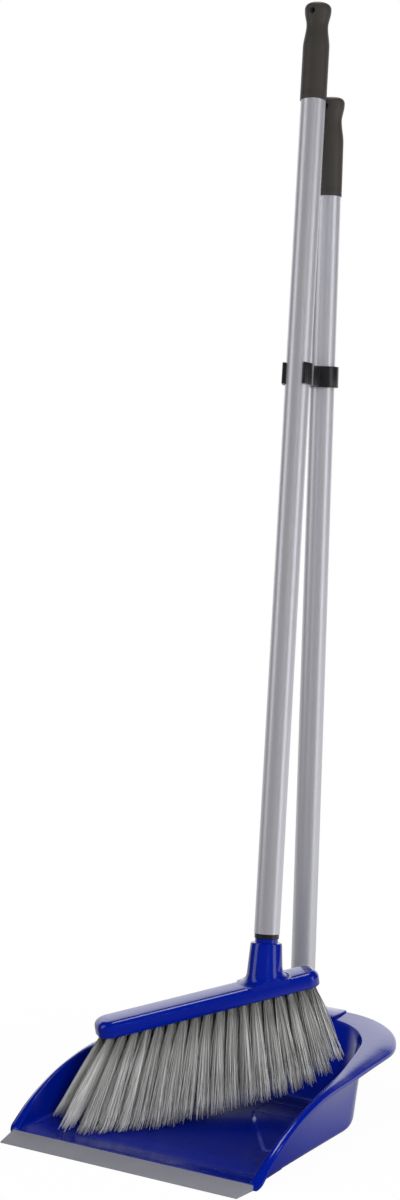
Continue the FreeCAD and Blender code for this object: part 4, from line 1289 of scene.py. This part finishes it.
def strand_copies(count):
    """Thin closed tubes, one step apart along X and one metre long, all in one mesh."""
    shape = bmesh.new()
    ring = bmesh.ops.create_circle(shape, segments=4, radius=STRAND_STOCK)["verts"]
    edges = list({edge for vert in ring for edge in vert.link_edges})
    for _ in range(STRAND_RINGS):
        grown = bmesh.ops.extrude_edge_only(shape, edges=edges)["geom"]
        verts = [part for part in grown if isinstance(part, bmesh.types.BMVert)]
        edges = [part for part in grown if isinstance(part, bmesh.types.BMEdge)]
        bmesh.ops.translate(shape, verts=verts, vec=(0, 0, 1 / STRAND_RINGS))
    bmesh.ops.holes_fill(shape, edges=edges, sides=0)
    bmesh.ops.recalc_face_normals(shape, faces=shape.faces)
    item = placed("strand", mesh_of("strand", shape))
    copies = item.modifiers.new("copies", "ARRAY")
    copies.count = count
    copies.use_relative_offset = False
    copies.use_constant_offset = True
    copies.constant_offset_displace = (STRAND_STEP, 0, 0)
    graph = bpy.context.evaluated_depsgraph_get()
    result = bpy.data.meshes.new_from_object(item.evaluated_get(graph))
    bpy.data.meshes.remove(item.data)
    return result


def points_of(mesh):
    """The places of a mesh's vertices."""
    flat = np.empty(len(mesh.vertices) * 3)
    mesh.vertices.foreach_get("co", flat)
    return flat.reshape(-1, 3)


def move_points(mesh, points):
    """Puts a mesh's vertices at the given places."""
    mesh.vertices.foreach_set("co", points.ravel())
    mesh.update()


def comb_row(brush, row):
    """The mesh of one row of tufts, in the block's frame. Within a tuft the strands spread evenly
    over its root and its tip, and each has a length, bow, crimp, thickness and shade of its own."""
    dice = np.random.default_rng(20 + row)
    holes = tuft_holes(brush, row)
    count = brush.strands * len(holes)
    mesh = strand_copies(count)
    stock = points_of(mesh)
    strand = np.round(stock[:, 0] / STRAND_STEP).astype(int)
    section = stock[:, :2] - np.column_stack([strand * STRAND_STEP, np.zeros(len(stock))])
    section /= STRAND_STOCK
    along = stock[:, 2]

    turn = dice.uniform(0, math.tau, count)
    reach = np.sqrt(dice.uniform(0, 1, count))
    disc = np.column_stack([np.cos(turn), np.sin(turn)]) * reach[:, None]
    roots, tips = np.empty((count, 3)), np.empty((count, 3))
    for index, hole in enumerate(holes):
        mine = slice(index * brush.strands, (index + 1) * brush.strands)
        tip, half_length, half_width = tuft_tip(brush, hole)
        roots[mine, :2] = hole + disc[mine] * (brush.tuft_radius - brush.strand_radius)
        roots[mine, 2] = ROOT_DEPTH
        stray = dice.normal(0, TIP_STRAY, (brush.strands, 2))
        aim = np.clip(disc[mine] + stray, -AIM_LIMIT, AIM_LIMIT)
        tips[mine, :2] = tip[:2] + aim * (half_length, half_width)
        shorter = dice.gamma(CUT_SHAPE, CUT_SIZE, brush.strands)
        kept = 1 - np.clip(shorter / -tip[2], 0, CUT_SHARE)
        tips[mine] = roots[mine] + (tips[mine] - roots[mine]) * kept[:, None]
        tips[mine, 2] = tip[2] + np.clip(shorter, 0, CUT_HEIGHT)
    bow = dice.normal(0, BOW, (count, 2))
    crimp = dice.uniform(*CRIMP, count) * MM
    waves = dice.uniform(*CRIMP_WAVES, count)
    phase = dice.uniform(0, math.tau, (count, 2))
    thick = brush.strand_radius * dice.uniform(*THICKNESS, count)
    shade = dice.beta(*SHADES, count)

    centre = roots[strand] + (tips - roots)[strand] * along[:, None]
    centre[:, :2] += bow[strand] * (along * (1 - along) * 4)[:, None]
    for axis in (0, 1):
        wave = np.sin(waves[strand] * math.tau * along / 2 + phase[strand, axis])
        centre[:, axis] += crimp[strand] * wave * along
    width = thick[strand] * (ROOT_WIDTH - TAPER * along)
    centre[:, :2] += section * width[:, None]
    move_points(mesh, centre)
    for name, values in (("shade", shade[strand]), ("along", along)):
        layer = mesh.attributes.new(name, "FLOAT", "POINT")
        layer.data.foreach_set("value", values.astype(np.float32))
    return mesh


def settle(mesh, pan):
    """Lays strands that reach the pan's floor down on it."""
    spots = points_of(mesh)
    ramp_end = pan.base_front + pan.ridge_length
    steepness = (pan.ridge_height - pan.floor) / pan.ridge_length
    ramp = pan.floor + np.maximum(ramp_end - spots[:, 1], 0) * steepness
    ground = np.maximum(ramp, pan.floor + pan.deck_height) + FLOOR_ROOM
    spots[:, 2] = np.maximum(spots[:, 2], ground)
    move_points(mesh, spots)


class BuildBristles(bpy.types.Operator):
    """Build the four rows of bristle tufts."""
    bl_idname = "dustpan.build_bristles"
    bl_label = "Build Bristles"

    def execute(self, context):
        brush = context.scene.brush_sizes
        fibre = material_from(flagged_polyester_fibre)
        for row in range(4):
            mesh = comb_row(brush, row)
            mesh.transform(head_place(brush))
            settle(mesh, context.scene.pan_sizes)
            mesh.shade_smooth()
            mesh.materials.clear()
            mesh.materials.append(fibre)
            piece = placed(f"bristle_row_{row + 1}", mesh)
            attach(piece, "broom")
            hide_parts(f"tuft_row_{row + 1}")
        recoated("tuft_staples", material_from(galvanised_wire))
        return {"FINISHED"}


# ---- stage

# Where the camera stands, the way to its right, the way it looks and its focal length in mm.
CAMERA_AT = (0.83925, -1.44566, 0.58401)
CAMERA_RIGHT = (0.86283, 0.50499, 0.02246)
CAMERA_AHEAD = (-0.50164, 0.86090, -0.08495)
CAMERA_LENS = 61.67
# The way from the set to the middle of the backdrop, and half the side of the floor.
BACKDROP_WAY = (-0.5, 0.86, 0.1)
FLOOR_HALF = 6.0


def softbox(name, location, target, size, power, mirrored=True):
    """A rectangular studio light that points at a target, with or without its own reflection."""
    light = bpy.data.lights.new(name, "AREA")
    light.shape = "RECTANGLE"
    light.size, light.size_y = size
    light.energy = power
    lamp = placed(name, light)
    lamp.location = location
    lamp.visible_glossy = mirrored
    away = Vector(location) - Vector(target)
    lamp.rotation_euler = away.to_track_quat("Z", "Y").to_euler()


def studio_world():
    """White to the eye. Mirrored, it is a white backdrop behind the set, in a dim room."""
    world = bpy.data.worlds.new("studio")
    world.use_nodes = True
    tree = world.node_tree
    tree.nodes.clear()
    way = add_node(tree, "TexCoord").outputs["Generated"]
    ray = add_node(tree, "LightPath").outputs
    aim = {0: way, 1: BACKDROP_WAY}
    towards = add_node(tree, "VectorMath", aim, operation="DOT_PRODUCT").outputs["Value"]
    up = add_node(tree, "SeparateXYZ", {"Vector": way}).outputs["Z"]
    # The backdrop fades 30 to 60 degrees off its middle, and 24 to 35 degrees above the horizon.
    steps = (
        {"Value": towards, "From Min": 0.5, "From Max": 0.86, "To Min": 0.04, "To Max": 1.5},
        {"Value": up, "From Min": 0.4, "From Max": 0.58, "To Min": 1.0, "To Max": 0.04},
    )
    near, low = (add_node(tree, "MapRange", step, **SMOOTH) for step in steps)
    backdrop = add_node(tree, "Math", {0: near, 1: low}, **TIMES)
    through = {0: ray["Is Glossy Ray"], 1: ray["Is Transmission Ray"]}
    mirrored = add_node(tree, "Math", through, **LARGER)
    lit = add_node(tree, "Mix", {"Factor": mirrored, "A": 0.35, "B": backdrop})
    strength = add_node(tree, "Mix", {"Factor": ray["Is Camera Ray"], "A": lit, "B": 1.0})
    ground = add_node(tree, "Background", {"Color": (1, 1, 1, 1), "Strength": strength})
    add_node(tree, "OutputWorld", {"Surface": ground})
    return world


class BuildStage(bpy.types.Operator):
    """Build the studio floor, the lights and the camera."""
    bl_idname = "dustpan.build_stage"
    bl_label = "Build Stage"

    def execute(self, context):
        scene = context.scene
        shape = bmesh.new()
        bmesh.ops.create_grid(shape, x_segments=1, y_segments=1, size=FLOOR_HALF)
        floor = placed("studio_floor", mesh_of("studio_floor", shape))
        floor.data.materials.append(material_from(matt_studio_floor))
        scene.world = studio_world()

        softbox("key_softbox", (1.6, -1.4, 1.3), (0, 0.1, 0.4), (0.8, 1.6), 42, mirrored=False)
        softbox("side_softbox", (2.1, 0.25, 0.7), (0, 0.15, 0.5), (0.8, 1.8), 6.5)
        softbox("fill_softbox", (-1.7, -1.5, 1.2), (0, 0.1, 0.5), (1.0, 2.0), 8)
        softbox("top_softbox", (-0.2, 0.6, 2.2), (0, 0.1, 0.3), (0.8, 0.8), 10)

        camera = bpy.data.cameras.new("view_camera")
        camera.sensor_width = 36
        camera.lens = CAMERA_LENS
        right, ahead = Vector(CAMERA_RIGHT).normalized(), Vector(CAMERA_AHEAD).normalized()
        turn = Matrix((right, right.cross(ahead), -ahead)).transposed().to_4x4()
        eye = placed("view_camera", camera)
        eye.matrix_world = Matrix.Translation(CAMERA_AT) @ turn
        scene.camera = eye
        scene.view_settings.view_transform = "Standard"
        return {"FINISHED"}


# ---- add-on

class DustPanPanel(bpy.types.Panel):
    """The steps that build the dust pan and brush set."""
    bl_label = "Dust Pan and Brush"
    bl_idname = "VIEW3D_PT_dust_pan"
    bl_space_type = "VIEW_3D"
    bl_region_type = "UI"
    bl_category = "Dust Pan"

    def draw(self, context):
        for operator in OPERATORS:
            self.layout.operator(operator.bl_idname)


SETTINGS = {
    "pan_sizes": PanSizes,
    "lip_sizes": LipSizes,
    "handle_sizes": HandleSizes,
    "brush_sizes": BrushSizes,
    "finishes": Finishes,
}
OPERATORS = (
    BuildStage,
    BuildPan,
    BuildLip,
    BuildHandles,
    BuildClip,
    BuildBrushBlock,
    BuildBristles,
)


def register():
    for group in SETTINGS.values():
        bpy.utils.register_class(group)
    for name, group in SETTINGS.items():
        setattr(bpy.types.Scene, name, PointerProperty(type=group))
    for operator in OPERATORS:
        bpy.utils.register_class(operator)
    bpy.utils.register_class(DustPanPanel)


def unregister():
    bpy.utils.unregister_class(DustPanPanel)
    for operator in reversed(OPERATORS):
        bpy.utils.unregister_class(operator)
    for name in SETTINGS:
        delattr(bpy.types.Scene, name)
    for group in reversed(list(SETTINGS.values())):
        bpy.utils.unregister_class(group)


def main():
    register()
    bpy.ops.dustpan.build_stage()
    bpy.ops.dustpan.build_pan()
    bpy.ops.dustpan.build_lip()
    bpy.ops.dustpan.build_handles()
    bpy.ops.dustpan.build_clip()
    bpy.ops.dustpan.build_brush_block()
    bpy.ops.dustpan.build_bristles()


if __name__ == "__main__":
    main()
